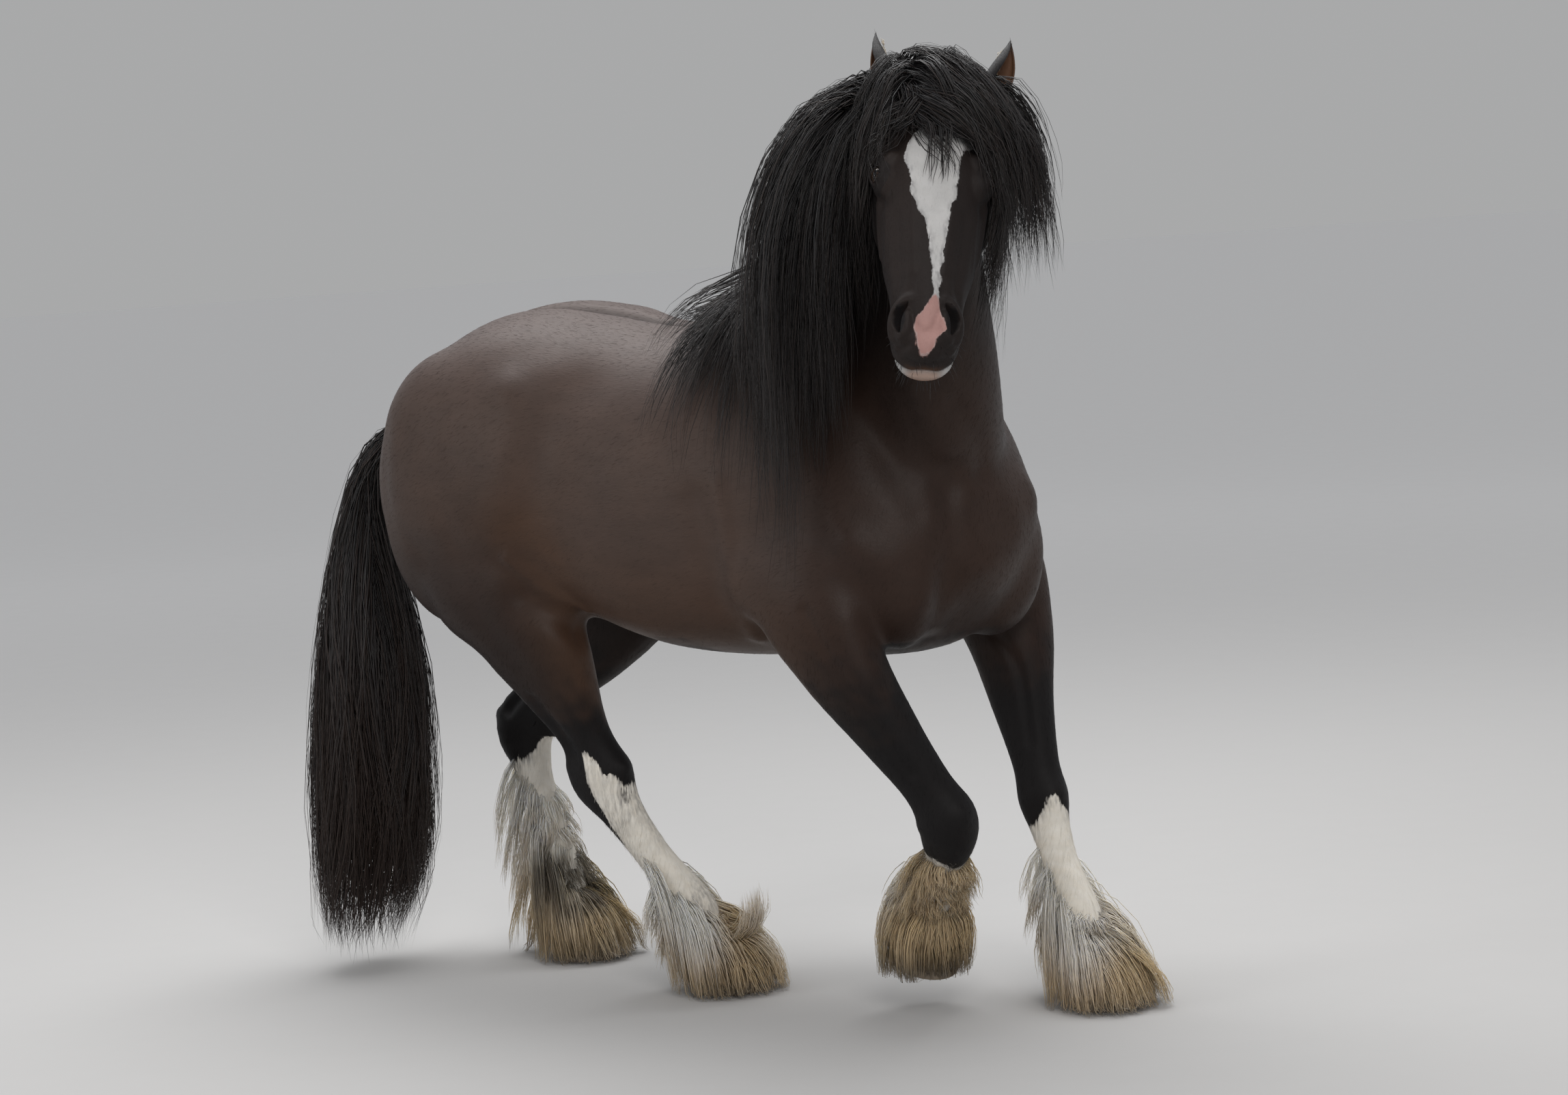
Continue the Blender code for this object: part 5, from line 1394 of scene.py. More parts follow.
def makeFeather(leg, surface):
    sizes, mine = featherSizes, dict(zip(featherSizes["names"], featherSizes["legs"][leg]))
    chance = np.random.default_rng(len(leg) * 7 + ord(leg[-2]))
    rows = legRows(leg, 3)
    sole, heading, tilt = hoofPlaces[leg]
    sole = Vector(sole)
    turn = Matrix.Rotation(radians(heading), 3, "Z")
    floor = max(sole.z - 0.030, 0.003)

    def rootAt(place, out):
        i = min(int(place * 3), len(rows) - 2)
        row = rows[i] + (rows[i + 1] - rows[i]) * (place * 3 - i)
        return Vector(row[:3]) + out * (row[3] - 0.006)

    guides, outs = [], []
    for k in range(sizes["cannonGuides"]):
        angle = pi + 2 * pi * ((k * 0.618) % 1.0 - 0.5)
        out = turn @ Vector((cos(angle), sin(angle), 0))
        back = 0.5 + 0.5 * cos(angle - pi)
        first = mine["first"] + mine["lower"] * (1 - back)
        place = first + (sizes["cannonLast"] - first) * (k + chance.random()) / sizes["cannonGuides"]
        start = rootAt(place, out)
        length = mine["length"] * (0.30 + 0.70 * back ** 1.5) * chance.uniform(0.65, 1.15)
        sideways = abs(sin(angle)) if leg == "fore_right" else 0.0
        off = 0.08 + mine["off"] * max(back, sideways) * chance.uniform(0.5, 1.2)
        path = fallPath(surface, start, out * off + Vector((0, 0, -0.6)), length,
                        0.001 + 0.008 * back * chance.random(), 0.14)
        guides.append([(p[0], p[1], max(p[2], floor)) for p in path])
        outs.append(tuple(out))
    for k in range(sizes["bellGuides"]):
        angle = 2 * pi * (k + 0.5 + chance.uniform(-0.3, 0.3)) / sizes["bellGuides"]
        out = turn @ Vector((cos(angle), sin(angle), 0))
        ahead = max(0.0, cos(angle - 0.4))
        start = rootAt(8.1 + 1.0 * cos(angle) + chance.uniform(-0.5, 0.4), out)
        rim = sole + out * (chance.uniform(sizes["bellNear"], sizes["bellFar"]) + mine["toe"] * ahead)
        bulge = Vector((rim.x, rim.y, start.z - 0.030)) + out * 0.016
        bulge = bulge.lerp(start, chance.uniform(0.0, 0.45))
        inner = chance.uniform(0.75, 1.1) * mine["draw"] if mine["draw"] < 1 else 1.0
        rim = sole.lerp(rim, inner)
        raised = 0.012 * max(0.0, inner - 0.30) if mine["draw"] < 1 else 0.0
        rim.z = floor + 0.010 * chance.random() + raised
        kick = 0.005 if mine["draw"] == 1 else 0.0
        path = []
        for j in range(15):
            t = min(1.0, j / 11)
            place = start * (1 - t) ** 2 + bulge * 2 * t * (1 - t) + rim * t * t
            path.append(tuple(place + out * kick * max(0, j - 11)))
        guides.append(path)
        outs.append(tuple(out))
    if leg == "hind_right":
        # a lock at the toe that flicks up as the foot lands
        ahead, left = turn @ Vector((1, 0, 0)), turn @ Vector((0, 1, 0))
        for k in range(13):
            start = rootAt(9.0 + 0.4 * chance.random(), ahead) + left * chance.uniform(-0.034, 0.034)
            far = chance.uniform(0.8, 1.1)
            turns = ((0, 0), (0.030, -0.004), (0.058, 0.004), (0.080, 0.028), (0.088, 0.064), (0.084, 0.106))
            path = [tuple(start + ahead * x * far + Vector((0, 0, z * far))) for x, z in turns]
            guides.append([tuple(p) for p in resampled(smoothRows(path, 4)[None], 15)[0]])
            outs.append(tuple(ahead * 0.6 - Vector((0, 0, 0.8))))
    def stainsAndShade(points, along, chances):
        height = points[:, 2] - sole.z
        offset = points - np.array(sole)
        front = softStep(-0.02, 0.08, offset @ np.array(turn @ Vector((1, 0.2, 0))))
        stain = softStep(mine["stain"], 0.03, height + 0.05 * waves(points, 22, 8) - 0.05 * front) * 0.95
        stain = np.maximum(stain, softStep(0.3, 1.1, waves(points, 16, 12)) * 0.35)
        dark = softStep(0.045, 0.0, height) * softStep(-0.3, 0.8, waves(points, 20, 13)) * 0.5
        if leg == "fore_left":
            # painted shade: a thin dark line where the hair creases above the bell
            crease = np.abs(height - 0.150 + 0.3 * offset[:, 1])
            dark = np.maximum(dark, 0.30 * softStep(0.012, 0.003, crease))
        if leg == "fore_right":
            # tan in front, dark underneath
            stain = np.maximum(stain, 0.9 * front)
            dark = np.maximum(dark, 0.80 * softStep(0.065, -0.01, height))
        if leg == "hind_left":
            # darker low down and in a patch above: dirt, and also painted shade on this far hind leg
            low = 0.75 * softStep(0.10, 0.0, height) * softStep(-0.8, 0.4, waves(points, 18, 14))
            dark = np.maximum(dark, low)
            patch = softStep(0.27, 0.22, height)
            patch *= softStep(0.105, 0.14, height + 0.03 * waves(points, 60, 15))
            patch *= softStep(-0.685, -0.660, points[:, 0])
            dark = np.maximum(dark, patch * softStep(-0.6, 0.2, waves(points, 26, 9)) * 0.9)
        return {"stain": stain, "dark": dark}

    look = hairLook(sizes, floor=floor - 0.002)
    return hairPiece(f"feather_{leg}", guides, outs, look, len(leg) + ord(leg[0]), featherMaterial, stainsAndShade)


# short coat, by Geometry Nodes

coatSizes = {"density": 8000.0, "length": 0.011, "width": 0.0007, "tilt": 2.6,
             "seed": 4}


def makeCoatTree():
    tree = bpy.data.node_groups.new("shortCoat", "GeometryNodeTree")
    sockets = {"Geometry": "Geometry", "Unwrap": "Object", "Region": "Float", "Density": "Float",
               "Length": "Float",
               "Width": "Float", "Tilt": "Float", "Seed": "Int", "Coat": "Material"}
    for label, kind in sockets.items():
        tree.interface.new_socket(label, in_out="INPUT", socket_type="NodeSocket" + kind)
    tree.interface.new_socket("Geometry", in_out="OUTPUT", socket_type="NodeSocketGeometry")

    def add(kind, given=None, **settings):
        return addNode(tree, kind, given, **settings)

    def calc(operation, first, second):
        return maths(tree, operation, first, second)

    def named(name, kind="FLOAT"):
        return add("GeometryNodeInputNamedAttribute", {"Name": name}, data_type=kind).outputs["Attribute"]

    def store(name, kind, domain, value, geometry):
        given = {"Name": name, "Geometry": geometry, "Value": value}
        node = add("GeometryNodeStoreNamedAttribute", given, data_type=kind, domain=domain)
        return node.outputs["Geometry"]

    # roots
    take = add("NodeGroupInput").outputs
    away = calc("ABSOLUTE", calc("SUBTRACT", named("region"), take["Region"]), 0.0)
    spread = add("GeometryNodeDistributePointsOnFaces", {
        "Mesh": take["Geometry"], "Selection": calc("LESS_THAN", away, 0.5),
        "Density": calc("MULTIPLY", take["Density"], named("tuftDensity")), "Seed": take["Seed"]})
    unwrapped = add("GeometryNodeObjectInfo", {"Object": take["Unwrap"]}).outputs["Geometry"]
    given = {"Mesh": unwrapped, "Value": named("UVMap", "FLOAT_VECTOR")}
    sample = add("GeometryNodeSampleNearestSurface", given, data_type="FLOAT_VECTOR")
    points = store("rootUv", "FLOAT_VECTOR", "POINT", sample.outputs["Value"], spread.outputs["Points"])
    chance = add("FunctionNodeRandomValue", data_type="FLOAT").outputs[1]
    points = store("chance", "FLOAT", "POINT", chance, points)

    # one tuft: a thin three-sided spike that lies along Y
    spike = add("GeometryNodeMeshCone", {"Vertices": 3, "Side Segments": 1, "Radius Top": 0.0,
                                         "Radius Bottom": 1.0,
                                         "Depth": 1.0})
    place = add("GeometryNodeInputPosition").outputs[0]
    local = store("tuftPlace", "FLOAT_VECTOR", "POINT", place, spike.outputs["Mesh"])
    lay = add("GeometryNodeTransform", {"Geometry": local, "Rotation": (radians(-90), 0, 0)})

    # turned along the lie of the coat, tipped up a little
    upright = add("FunctionNodeAlignRotationToVector", {"Vector": spread.outputs["Normal"]}, axis="Z")
    given = {"Rotation": upright.outputs[0], "Vector": named("lie", "FLOAT_VECTOR")}
    combed = add("FunctionNodeAlignRotationToVector", given, axis="Y", pivot_axis="Z").outputs[0]
    wild = add("FunctionNodeRandomValue", {"Seed": 7}, data_type="FLOAT").outputs[1]
    angles = add("ShaderNodeCombineXYZ", {"X": calc("MULTIPLY", take["Tilt"], calc("ADD", wild, 0.4)),
                                          "Z": calc("MULTIPLY", calc("SUBTRACT", chance, 0.5), 0.5)})
    turned = add("FunctionNodeEulerToRotation", {0: angles.outputs[0]}).outputs[0]
    tip = add("FunctionNodeRotateRotation", {"Rotation": combed, "Rotate By": turned}, rotation_space="LOCAL")
    long = calc("MULTIPLY", take["Length"], calc("MULTIPLY", named("tuftLength"), calc("ADD", wild, 0.5)))
    size = add("ShaderNodeCombineXYZ", {"X": take["Width"], "Y": long,
                                        "Z": calc("MULTIPLY", take["Width"], 0.25)})
    grow = add("GeometryNodeInstanceOnPoints", {"Points": points, "Instance": lay.outputs["Geometry"],
                                                "Rotation": tip.outputs[0], "Scale": size.outputs[0]})
    real = add("GeometryNodeRealizeInstances", {"Geometry": grow.outputs["Instances"]})

    # each tuft is a small patch at its root's place on the unwrap
    given = {0: named("tuftPlace", "FLOAT_VECTOR"), 1: (0.0015, 0.0015, 0.0),
             2: named("rootUv", "FLOAT_VECTOR")}
    small = add("ShaderNodeVectorMath", given, operation="MULTIPLY_ADD")
    done = store("OFBake", "FLOAT2", "CORNER", small.outputs[0], real.outputs["Geometry"])
    paint = add("GeometryNodeSetMaterial", {"Geometry": done, "Material": take["Coat"]})
    add("NodeGroupOutput", {"Geometry": paint.outputs["Geometry"]})
    return tree


def setInput(modifier, label, value):
    for item in modifier.node_group.interface.items_tree:
        if item.item_type == "SOCKET" and item.in_out == "INPUT" and item.name == label:
            modifier[item.identifier] = value


def coatOver(source, tree, name, region, density, length, width):
    made = newObject(name, source)
    modifier = made.modifiers.new("shortCoat", "NODES")
    modifier.node_group = tree
    for label, value in (("Unwrap", flatSkin), ("Region", float(region)), ("Density", density),
                         ("Length", length),
                         ("Width", width), ("Tilt", radians(coatSizes["tilt"])),
                         ("Seed", coatSizes["seed"] + region), ("Coat", tuftMaterial)):
        setInput(modifier, label, value)
    applyModifiers(made)
    for label in ("lie", "rootUv", "tuftPlace", "tuftLength", "tuftDensity", "region", "UVMap"):
        if label in made.data.attributes:
            made.data.attributes.remove(made.data.attributes[label])
    print(name, len(made.data.polygons), "faces")
    return made


def makeShortCoat():
    tree = makeCoatTree()
    centres = readArray(skin.data.polygons, "center", 3).astype(float)
    head = headWeight(centres)[0]
    region = np.where(centres[:, 0] > 0.10, 1, 0)
    region = np.where(centres[:, 2] < 0.78, 2, region)
    region = np.where(head > 0.3, 3, region)
    setAttribute(skin.data, "region", region, "FLOAT", "FACE")
    pieces = []
    for k, name in enumerate(("coat_rear", "coat_front", "coat_legs", "coat_head")):
        near = k == 3
        pieces.append(coatOver(skin.data.copy(), tree, name, k, coatSizes["density"] * (1.5 if near else 1.0),
                               coatSizes["length"], coatSizes["width"] * (0.6 if near else 1.0)))
    for k, (side, word) in enumerate(sides.items()):
        mesh = ears[side].data.copy()
        tip = headFrame.to_3x3() @ earFrame(side)[1]
        setAttribute(mesh, "region", np.full(len(mesh.polygons), 4.0 + k), "FLOAT", "FACE")
        setAttribute(mesh, "lie", np.tile(np.array(tip), (len(mesh.vertices), 1)), "FLOAT_VECTOR")
        for label in ("tuftLength", "tuftDensity"):
            setAttribute(mesh, label, np.ones(len(mesh.vertices)))
        pieces.append(coatOver(mesh, tree, f"coat_ear_{word}", 4 + k, coatSizes["density"] * 3.5, 0.008,
                               coatSizes["width"] * 0.6))
    return pieces


# ears, eyes and hooves

rounding = ("SUBSURF", {"levels": 1, "render_levels": 1})
earSizes = {"length": 0.192, "base": 0.024, "belly": 0.060, "bowLeft": 0.058, "bowRight": 0.050,
            "rows": 24, "columns": 28, "thick": 0.0034, "openMost": 60.0}


def earFrame(side):
    tip = Vector((-1.0, side * 0.06, -0.26)).normalized()
    mouth = Vector((-0.10, side * 1.0, 0.38 if side > 0 else 0.05))
    mouth = (mouth - tip * mouth.dot(tip)).normalized()
    return Vector((0.028, side * 0.076, 0.008)), tip, tip.cross(mouth), mouth


def earMiddle(side, t):
    # the ear leaves the skull sideways and then bends upright
    start, tip, across, mouth = (np.array(v) for v in earFrame(side))
    reach = earSizes["bowLeft"] if side > 0 else earSizes["bowRight"]
    bow = np.array([0, side * reach, 0]) * (1 - (1 - t) ** 2)
    return start + tip * earSizes["length"] * t + bow * (t > 0) - mouth * 0.010 * t * t


def earWidth(t):
    return earSizes["base"] + earSizes["belly"] * t * (1 - t) ** 1.1


def setMarks(mesh, given):
    for label in (*coatMarks, "leg"):
        setAttribute(mesh, label, np.zeros(len(mesh.vertices)) + given.get(label, 0.0))


def makeEar(side, name):
    start, tip, across, mouth = (np.array(v) for v in earFrame(side))
    points = []
    rows, columns = earSizes["rows"], earSizes["columns"]
    for k in range(rows):
        height = -0.025 + (earSizes["length"] + 0.025) * k / (rows - 1)
        t = max(height, 0.0) / earSizes["length"]
        wide = earWidth(t) * (1 - t ** 3.2) + 0.0010
        centre = earMiddle(side, t) + tip * min(height, 0.0)
        opening = radians(earSizes["openMost"]) * softStep(0.06, 0.34, t) * (1 - 0.25 * t)
        for j in range(columns):
            angle = pi / 2 + opening + (2 * pi - 2 * opening) * j / (columns - 1)
            deep = 0.60 if sin(angle) > 0 else 0.66
            points.append(centre + across * wide * cos(angle) + mouth * wide * deep * sin(angle))
    quads = []
    for k in range(rows - 1):
        for j in range(columns - 1):
            a = k * columns + j
            quads.append((a, a + 1, a + columns + 1, a + columns))
    mesh = meshFromArrays(name, np.array(points), np.array(quads))
    ear = newObject(name, mesh)
    back = Vector(start + tip * 0.09 - mouth * 0.05)
    with editing(mesh) as work:
        bmesh.ops.recalc_face_normals(work, faces=work.faces[:])
        behind = min(work.faces, key=lambda face: (face.calc_center_median() - back).length)
        if behind.normal.dot(Vector(mouth)) > 0:
            bmesh.ops.reverse_faces(work, faces=work.faces[:])
    modified(ear, ("SOLIDIFY", {"thickness": earSizes["thick"], "offset": -1.0}), rounding)
    mesh = inHead(ear).data
    inverse = np.array(headFrame.inverted())
    local = meshPoints(mesh) @ inverse[:3, :3].T + inverse[:3, 3]
    normals = vertexNormals(mesh) @ inverse[:3, :3].T
    height = (local - start) @ tip / earSizes["length"]
    axis = np.array([earMiddle(side, t) for t in height])
    inward = ((axis - local) * normals).sum(1) > 0
    amber = inward * softStep(0.05, 0.20, height) * softStep(0.98, 0.80, height) * 0.34
    setMarks(mesh, {"amber": amber, "black": np.where(inward, 0.70, 1.0)})
    mesh.materials.append(skinMaterial)
    mesh.shade_smooth()
    return ear


def earStains(points, along, chances):
    return {"stain": 0.55 + 0.4 * chances, "dark": 0.35 + 0.4 * along ** 3}


def makeFineHair():
    # pale hair inside the ears, lashes, and whiskers on the lips and the chin
    chance = np.random.default_rng(17)
    guides, outs, kinds = [], [], []

    def grow(kind, place, heading, length, bend, out):
        t = np.linspace(0, 1, 8)[:, None]
        line = np.array(place) + np.array(heading) * t * length + np.array(bend) * t * t * length
        guides.append(line)
        outs.append(np.array(out, float))
        kinds.append(kind)

    for side in (-1, 1):
        start, tip, across, mouth = (np.array(v) for v in earFrame(side))
        for k in range(130):
            t = 0.05 + 0.76 * (k + chance.random()) / 130
            wide = earWidth(t)
            sideways = chance.uniform(-0.5, 0.5)
            place = earMiddle(side, t) - mouth * wide * 0.48 * (1 - 0.5 * sideways ** 2)
            place = place + across * wide * sideways
            heading = tip * 0.9 + mouth * chance.uniform(0.10, 0.30) - across * sideways * 0.6
            grow(0, place, heading, chance.uniform(0.012, 0.022) * (1.15 - 0.6 * t), tip * 0.2, mouth)
        gaze, nose, brow = (np.array(v) for v in eyeAxes(side))
        centre = np.array(eyeCentre(side))
        for k in range(44):
            c = -0.85 + 1.7 * (k + chance.random()) / 44
            x, y = lidEdge(c, (1 - c * c) ** 0.5)
            high = (lidSizes["radius"] ** 2 - x * x - y * y) ** 0.5 + 0.0012
            place = centre + nose * x * 1.06 + brow * y * 1.06 + gaze * high
            heading = gaze * 0.75 + brow * 0.35 + nose * c * 0.4
            grow(1, place, heading, chance.uniform(0.011, 0.019), gaze * 0.1 - brow * 0.65, brow)
    for k in range(150):
        side = chance.choice((-1, 1))
        u, v, w = chance.uniform(0.500, 0.585), side * chance.uniform(0.0, 0.062), chance.uniform(-0.085,
                                                                                                  0.006)
        place, normal = surface.find_nearest(headFrame @ Vector((u, v, w)))[:2]
        inverse = headFrame.inverted()
        normal = np.array(inverse.to_3x3() @ normal)
        grow(2, np.array(inverse @ place) - normal * 0.001, normal + np.array([0.35, 0, -0.1]),
             chance.uniform(0.010, 0.030), np.array([0.25, 0, -0.2]), (0, 0, 1))
    turn, shift = np.array(headFrame.to_3x3()), np.array(headFrame.translation)
    guides = [line @ turn.T + shift for line in guides]
    outs = np.array([turn @ out for out in outs])
    kinds = np.array(kinds)
    pieces = []
    for name, which, strands, material, wide in (("ear_hair", [0], 5, featherMaterial, 0.0006),
                                                 ("whiskers", [1, 2], 1, maneMaterial, 0.00045)):
        mine = np.isin(kinds, which)
        look = {"rings": 6, "strands": strands, "halfWidth": 0.004 if strands > 1 else 0.0,
                "halfThick": 0.0025,
                "rootSpread": 1.0, "gather": 0.2, "wave": 0.0015, "waves": 0.6, "strandWidth": wide,
                "shortest": 0.7,
                "stray": 0.1, "wisps": 3}
        tan = earStains if strands > 1 else None
        pieces.append(hairPiece(name, np.array(guides)[mine], outs[mine], look, 90 + strands, material, tan))
    return pieces


def makeEye(side, name):
    # ball with a sunken iris and a wide, level pupil
    gaze, nose, brow = eyeAxes(side)
    mesh = bpy.data.meshes.new(name)
    reach = radians(eyeSizes["irisReach"])
    angles, pupils = [], []
    with editing(mesh) as work:
        bmesh.ops.create_uvsphere(work, u_segments=56, v_segments=40, radius=eyeSizes["radius"] - 0.0012)
        work.transform(Vector((0, 0, 1)).rotation_difference(gaze).to_matrix().to_4x4())
        for vert in work.verts:
            facing = vert.co.normalized()
            angle = facing.angle(gaze)
            flat = facing - gaze * facing.dot(gaze)
            angles.append(angle / reach)
            pupils.append(np.hypot(flat.dot(nose) * 0.62, flat.dot(brow) * 1.35))
            if angle < reach:
                vert.co *= 1 - eyeSizes["dent"] * (1 - (angle / reach) ** 2)
    mesh.transform(headFrame @ Matrix.Translation(eyeCentre(side)))
    setAttribute(mesh, "irisAngle", np.array(angles))
    setAttribute(mesh, "pupil", np.array(pupils))
    mesh.materials.append(eyeMaterial)
    mesh.shade_smooth()
    return newObject(name, mesh)


lidSizes = {
    "radius": 0.0245, "sides": 72,
    # distance out from the lid's edge, height over the skin, share of the skin's own shape
    "outer": [(-0.0006, -0.0022, 0.0), (0.0, -0.0002, 0.0), (0.0007, 0.0010, 0.0), (0.0022, 0.0016, 0.05),
              (0.0042, 0.0014, 0.35), (0.0058, 0.0002, 0.60), (0.0078, 0.0017, 0.80), (0.0110, 0.0020, 1.0),
              (0.0150, 0.0012, 1.0), (0.0190, -0.0008, 1.0)],
    "inner": [(0.0180, -0.0040, 1.0), (0.0080, -0.0050, 0.8), (0.0010, -0.0045, 0.0)],
}


def makeLids(side, name, surface):
    # upper and lower lid: a rounded edge on the eyeball, a crease, and a fold that runs out into the skin
    gaze, nose, brow = (np.array(v) for v in eyeAxes(side))
    centre = np.array(eyeCentre(side))
    toHead = headFrame.inverted()
    rows = []
    for far, lift, share in lidSizes["outer"] + lidSizes["inner"]:
        row = []
        for turn in 2 * pi * np.arange(lidSizes["sides"]) / lidSizes["sides"]:
            c, s = cos(turn), sin(turn)
            x, y = lidEdge(c, s)
            edge = (x * x + y * y) ** 0.5
            crease = 0.65 + 0.35 * s if far > 0.003 else 1.0
            x, y = x * (edge + far) / edge, y * (edge + far) / edge
            flat = centre + nose * x + brow * y
            onBall = max(lidSizes["radius"] ** 2 - x * x - y * y, 1e-6) ** 0.5
            above = headFrame @ Vector(flat + gaze * 0.06)
            hit = surface.ray_cast(above, -(headFrame.to_3x3() @ Vector(gaze)))[0]
            onSkin = float((np.array(toHead @ hit) - centre) @ gaze) if hit else onBall
            height = onBall + (onSkin - onBall) * share
            if far >= 0 and lift > -0.002:
                height = max(height, onSkin)
            row.append(flat + gaze * (height + lift * crease))
        rows.append(row)
    count, rings = lidSizes["sides"], len(rows)
    k, j = np.meshgrid(np.arange(rings), np.arange(count), indexing="ij")
    a, b = k * count + j, k * count + (j + 1) % count
    quads = np.stack([a, b, (b + count) % (rings * count), (a + count) % (rings * count)], 2).reshape(-1, 4)
    lids = newObject(name, meshFromArrays(name, np.array(rows).reshape(-1, 3), quads))
    faceOutwards(lids.data)
    modified(lids, rounding)
    inHead(lids)
    setMarks(lids.data, {"black": 0.92, "head": 1.0})
    lids.data.materials.append(skinMaterial)
    lids.data.shade_smooth()
    return lids


def makeCornea(side, name):
    # clear bulging shell over the eyeball
    gaze = eyeAxes(side)[0]
    mesh = bpy.data.meshes.new(name)
    with editing(mesh) as work:
        bmesh.ops.create_uvsphere(work, u_segments=48, v_segments=32, radius=eyeSizes["radius"])
        work.transform(Vector((0, 0, 1)).rotation_difference(gaze).to_matrix().to_4x4())
        for vert in work.verts:
            bulge = float(softStep(radians(60), radians(10), vert.co.angle(gaze)))
            vert.co *= 1 + eyeSizes["bulge"] * bulge
    mesh.transform(headFrame @ Matrix.Translation(eyeCentre(side)))
    mesh.materials.append(corneaMaterial)
    mesh.shade_smooth()
    return newObject(name, mesh)


def makeEyeMaterial():
    made, tree, shader = newMaterial("iris and pupil")
    angle, pupil = attributeNode(tree, "irisAngle"), attributeNode(tree, "pupil")
    rays = stretchedNoise(tree, 420.0, 3.0)
    iris = mixColour(tree, rays, (0.030, 0.013, 0.006), (0.100, 0.046, 0.018))
    rim = maths(tree, "POWER", angle, 4.0)
    iris = mixColour(tree, rim, iris, (0.008, 0.005, 0.004))
    colour = mixColour(tree, maths(tree, "GREATER_THAN", angle, 1.0), iris, (0.16, 0.12, 0.10))
    colour = mixColour(tree, maths(tree, "LESS_THAN", pupil, 0.30), colour, (0.0015, 0.0015, 0.003))
    feed(tree, shader, {"Base Color": colour, "Roughness": maths(tree, "MULTIPLY_ADD", rays, 0.25, 0.30),
                        "Normal": bumped(tree, rays, 0.25, 0.0006), "Specular IOR Level": 0.10})
    return made


def makeCorneaMaterial():
    made, tree, shader = newMaterial("cornea")
    wet = stretchedNoise(tree, 90.0, 2.0)
    feed(tree, shader, {"Roughness": maths(tree, "MULTIPLY_ADD", wet, 0.03, 0.01),
                        "Base Color": (1.0, 1.0, 1.0),
                        "Transmission Weight": 1.0, "IOR": 1.376})
    return made


eyeMaterial, corneaMaterial = makeEyeMaterial(), makeCorneaMaterial()


hoofSizes = {"low": 0.0715, "high": 0.0555, "height": 0.085}


def makeHoof(leg):
    sole, heading, tilt = hoofPlaces[leg]
    rings = []
    for t in (0.0, 0.0, 0.02, 0.15, 0.3, 0.45, 0.6, 0.75, 0.9, 0.985, 1.0, 1.0):
        radius = hoofSizes["low"] + (hoofSizes["high"] - hoofSizes["low"]) * t
        ring = []
        for j in range(48):
            a = 2 * pi * j / 48
            stretch = 1.0 + 0.08 * cos(a)
            groove = 1 + 0.006 * sin(t * 60 + 0.6 * cos(a))
            ring.append((-0.020 * t + radius * stretch * groove * cos(a), radius * 0.95 * groove * sin(a),
                         hoofSizes["height"] * t))
        rings.append(ring)
    rings[0] = [(x * 0.9, y * 0.9, 0.0) for x, y, z in rings[0]]
    rings[-1] = [(x * 0.9, y * 0.9, z) for x, y, z in rings[-1]]
    made = skinRings(f"hoof_{leg}", rings)
    turn = Matrix.Rotation(radians(heading), 4, "Z") @ Matrix.Rotation(radians(tilt), 4, "Y")
    made.data.transform(Matrix.Translation(sole) @ turn)
    made.data.materials.append(hornMaterial)
    made.data.shade_smooth()
    return made


def finishPiece(made, nodes=()):
    made.data.transform(Matrix.Translation(moved))
    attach(made, root)
    if nodes:
        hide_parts(*nodes)


# putting it together

skin.data.materials.clear()
skin.data.materials.append(skinMaterial)
surface = surfaceOf(skin.data)
ears = {side: makeEar(side, f"ear_skin_{word}") for side, word in sides.items()}
eyes = {side: makeEye(side, f"eye_ball_{word}") for side, word in sides.items()}
corneas = [makeCornea(side, f"cornea_{word}") for side, word in sides.items()]
lids = [makeLids(side, f"lids_{word}", surface) for side, word in sides.items()]
mane = makeMane(surface)
forelock = makeForelock(surface)
tailPieces = makeTail()
feathers = {leg: makeFeather(leg, surface) for leg in legStations}
fineHair = makeFineHair()
coat = makeShortCoat()
hooves = {leg: makeHoof(leg) for leg in legStations}

lowerNodes = [f"{leg}_{part}" for leg in legStations for part in ("upper", "lower")]
finishPiece(skin, ["torso", "neck", "head"] + lowerNodes)
for side, word in sides.items():
    finishPiece(ears[side], [f"ear_{word}"])
for side, word in sides.items():
    finishPiece(eyes[side], [f"eye_{word}"])
for pieces, nodes, slot in ((corneas, [], "eye"), (lids, [], "black_coat"), (mane, ["neck"], "black_hair"),
                            ([forelock], ["head"], "black_hair"), (fineHair, [], "black_hair"),
                            (tailPieces, ["tail"], "black_hair")):
    for piece in pieces:
        finishPiece(piece, nodes)
for leg in legStations:
    finishPiece(feathers[leg], [f"{leg}_lower"])
    finishPiece(hooves[leg], [f"{leg}_hoof"])
for piece in coat:
    finishPiece(piece, [])
drop(flatSkin)
print("pieces done")


# floor, lights and camera

stageSizes = {"floor": 200.0, "near": (0.44, 0.435, 0.43), "far": (0.90, 0.895, 0.89), "world": 0.45,
              "backdrop": 0.405, "lens": 84.92,
              "camera": (5.1423, -6.1284, 1.70), "turn": (84.6885, 3.9829, 38.7100)}


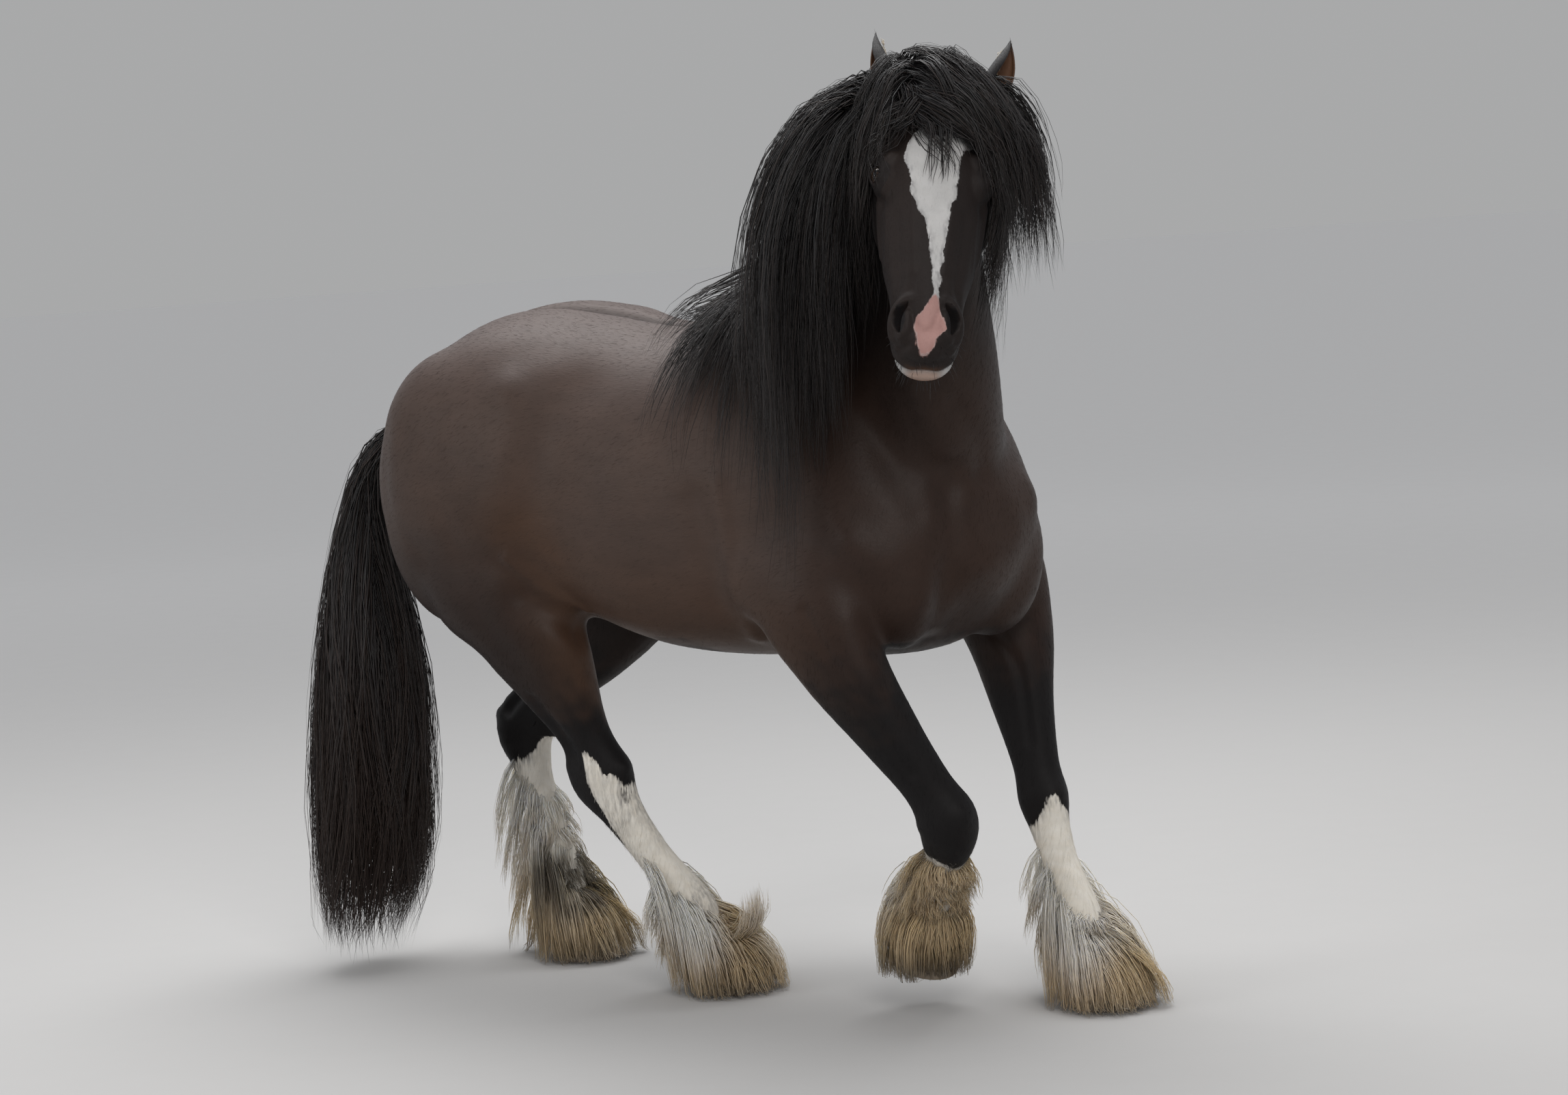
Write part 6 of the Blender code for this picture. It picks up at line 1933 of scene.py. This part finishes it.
def makeFloor():
    mesh = bpy.data.meshes.new("floor")
    with editing(mesh) as work:
        bmesh.ops.create_circle(work, cap_ends=True, segments=96, radius=stageSizes["floor"] / 2)
    floor = newObject("floor", mesh)
    # paler away from the middle, where the lamps reach less
    made, tree, shader = newMaterial("floor")
    place = addNode(tree, "ShaderNodeTexCoord").outputs["Object"]
    far = addNode(tree, "ShaderNodeVectorMath", {0: place}, operation="LENGTH").outputs["Value"]
    ramp = addNode(tree, "ShaderNodeMapRange", {"From Min": 2.0, "From Max": 12.0, "Value": far},
                   interpolation_type="SMOOTHSTEP")
    grain = stretchedNoise(tree, 9.0, 5.0)
    colour = mixColour(tree, ramp.outputs["Result"], stageSizes["near"], stageSizes["far"])
    colour = mixColour(tree, maths(tree, "MULTIPLY", grain, 0.05), colour, (0.30, 0.30, 0.30))
    feed(tree, shader, {"Base Color": colour, "Roughness": maths(tree, "MULTIPLY_ADD", grain, 0.1, 0.82),
                        "Normal": bumped(tree, grain, 0.05, 0.002)})
    mesh.materials.append(made)


def areaLight(name, place, target, size, power, colour=(1, 1, 1)):
    data = bpy.data.lights.new(name, "AREA")
    data.shape = "RECTANGLE"
    data.size, data.size_y = size
    data.energy = power
    data.color = colour
    light = bpy.data.objects.new(name, data)
    light.location = place
    light.rotation_euler = (Vector(target) - Vector(place)).to_track_quat("-Z", "Y").to_euler()
    bpy.context.scene.collection.objects.link(light)


makeFloor()
world = bpy.data.worlds.new("studio")
world.use_nodes = True
nodes, link = world.node_tree.nodes, world.node_tree.links.new
sky, shown = nodes["Background"], nodes.new("ShaderNodeBackground")
sky.inputs["Color"].default_value = (0.97, 0.98, 1.0, 1.0)
sky.inputs["Strength"].default_value = stageSizes["world"]
shown.inputs["Color"].default_value = (0.975, 0.98, 0.985, 1.0)
shown.inputs["Strength"].default_value = stageSizes["backdrop"]
seen, choose = nodes.new("ShaderNodeLightPath"), nodes.new("ShaderNodeMixShader")
link(seen.outputs["Is Camera Ray"], choose.inputs[0])
link(sky.outputs[0], choose.inputs[1])
link(shown.outputs[0], choose.inputs[2])
link(choose.outputs[0], nodes["World Output"].inputs["Surface"])
bpy.context.scene.world = world
areaLight("overhead", (-0.8, 1.2, 5.2), (0, 0, 1.0), (5.0, 4.0), 300)
areaLight("key", (5.0, -4.4, 4.4), (0.1, 0, 1.0), (3.0, 3.0), 230, (1.0, 0.98, 0.96))
areaLight("fill", (-3.5, -5.5, 3.0), (0, 0, 0.9), (3.0, 2.5), 80)
bpy.context.scene.view_settings.view_transform = "Standard"

camera = bpy.data.objects.new("camera", bpy.data.cameras.new("camera"))
camera.data.lens = stageSizes["lens"]
camera.data.sensor_width = 36.0
camera.location = Vector(stageSizes["camera"]) + moved
camera.rotation_euler = [radians(a) for a in stageSizes["turn"]]
bpy.context.scene.collection.objects.link(camera)
bpy.context.scene.camera = camera
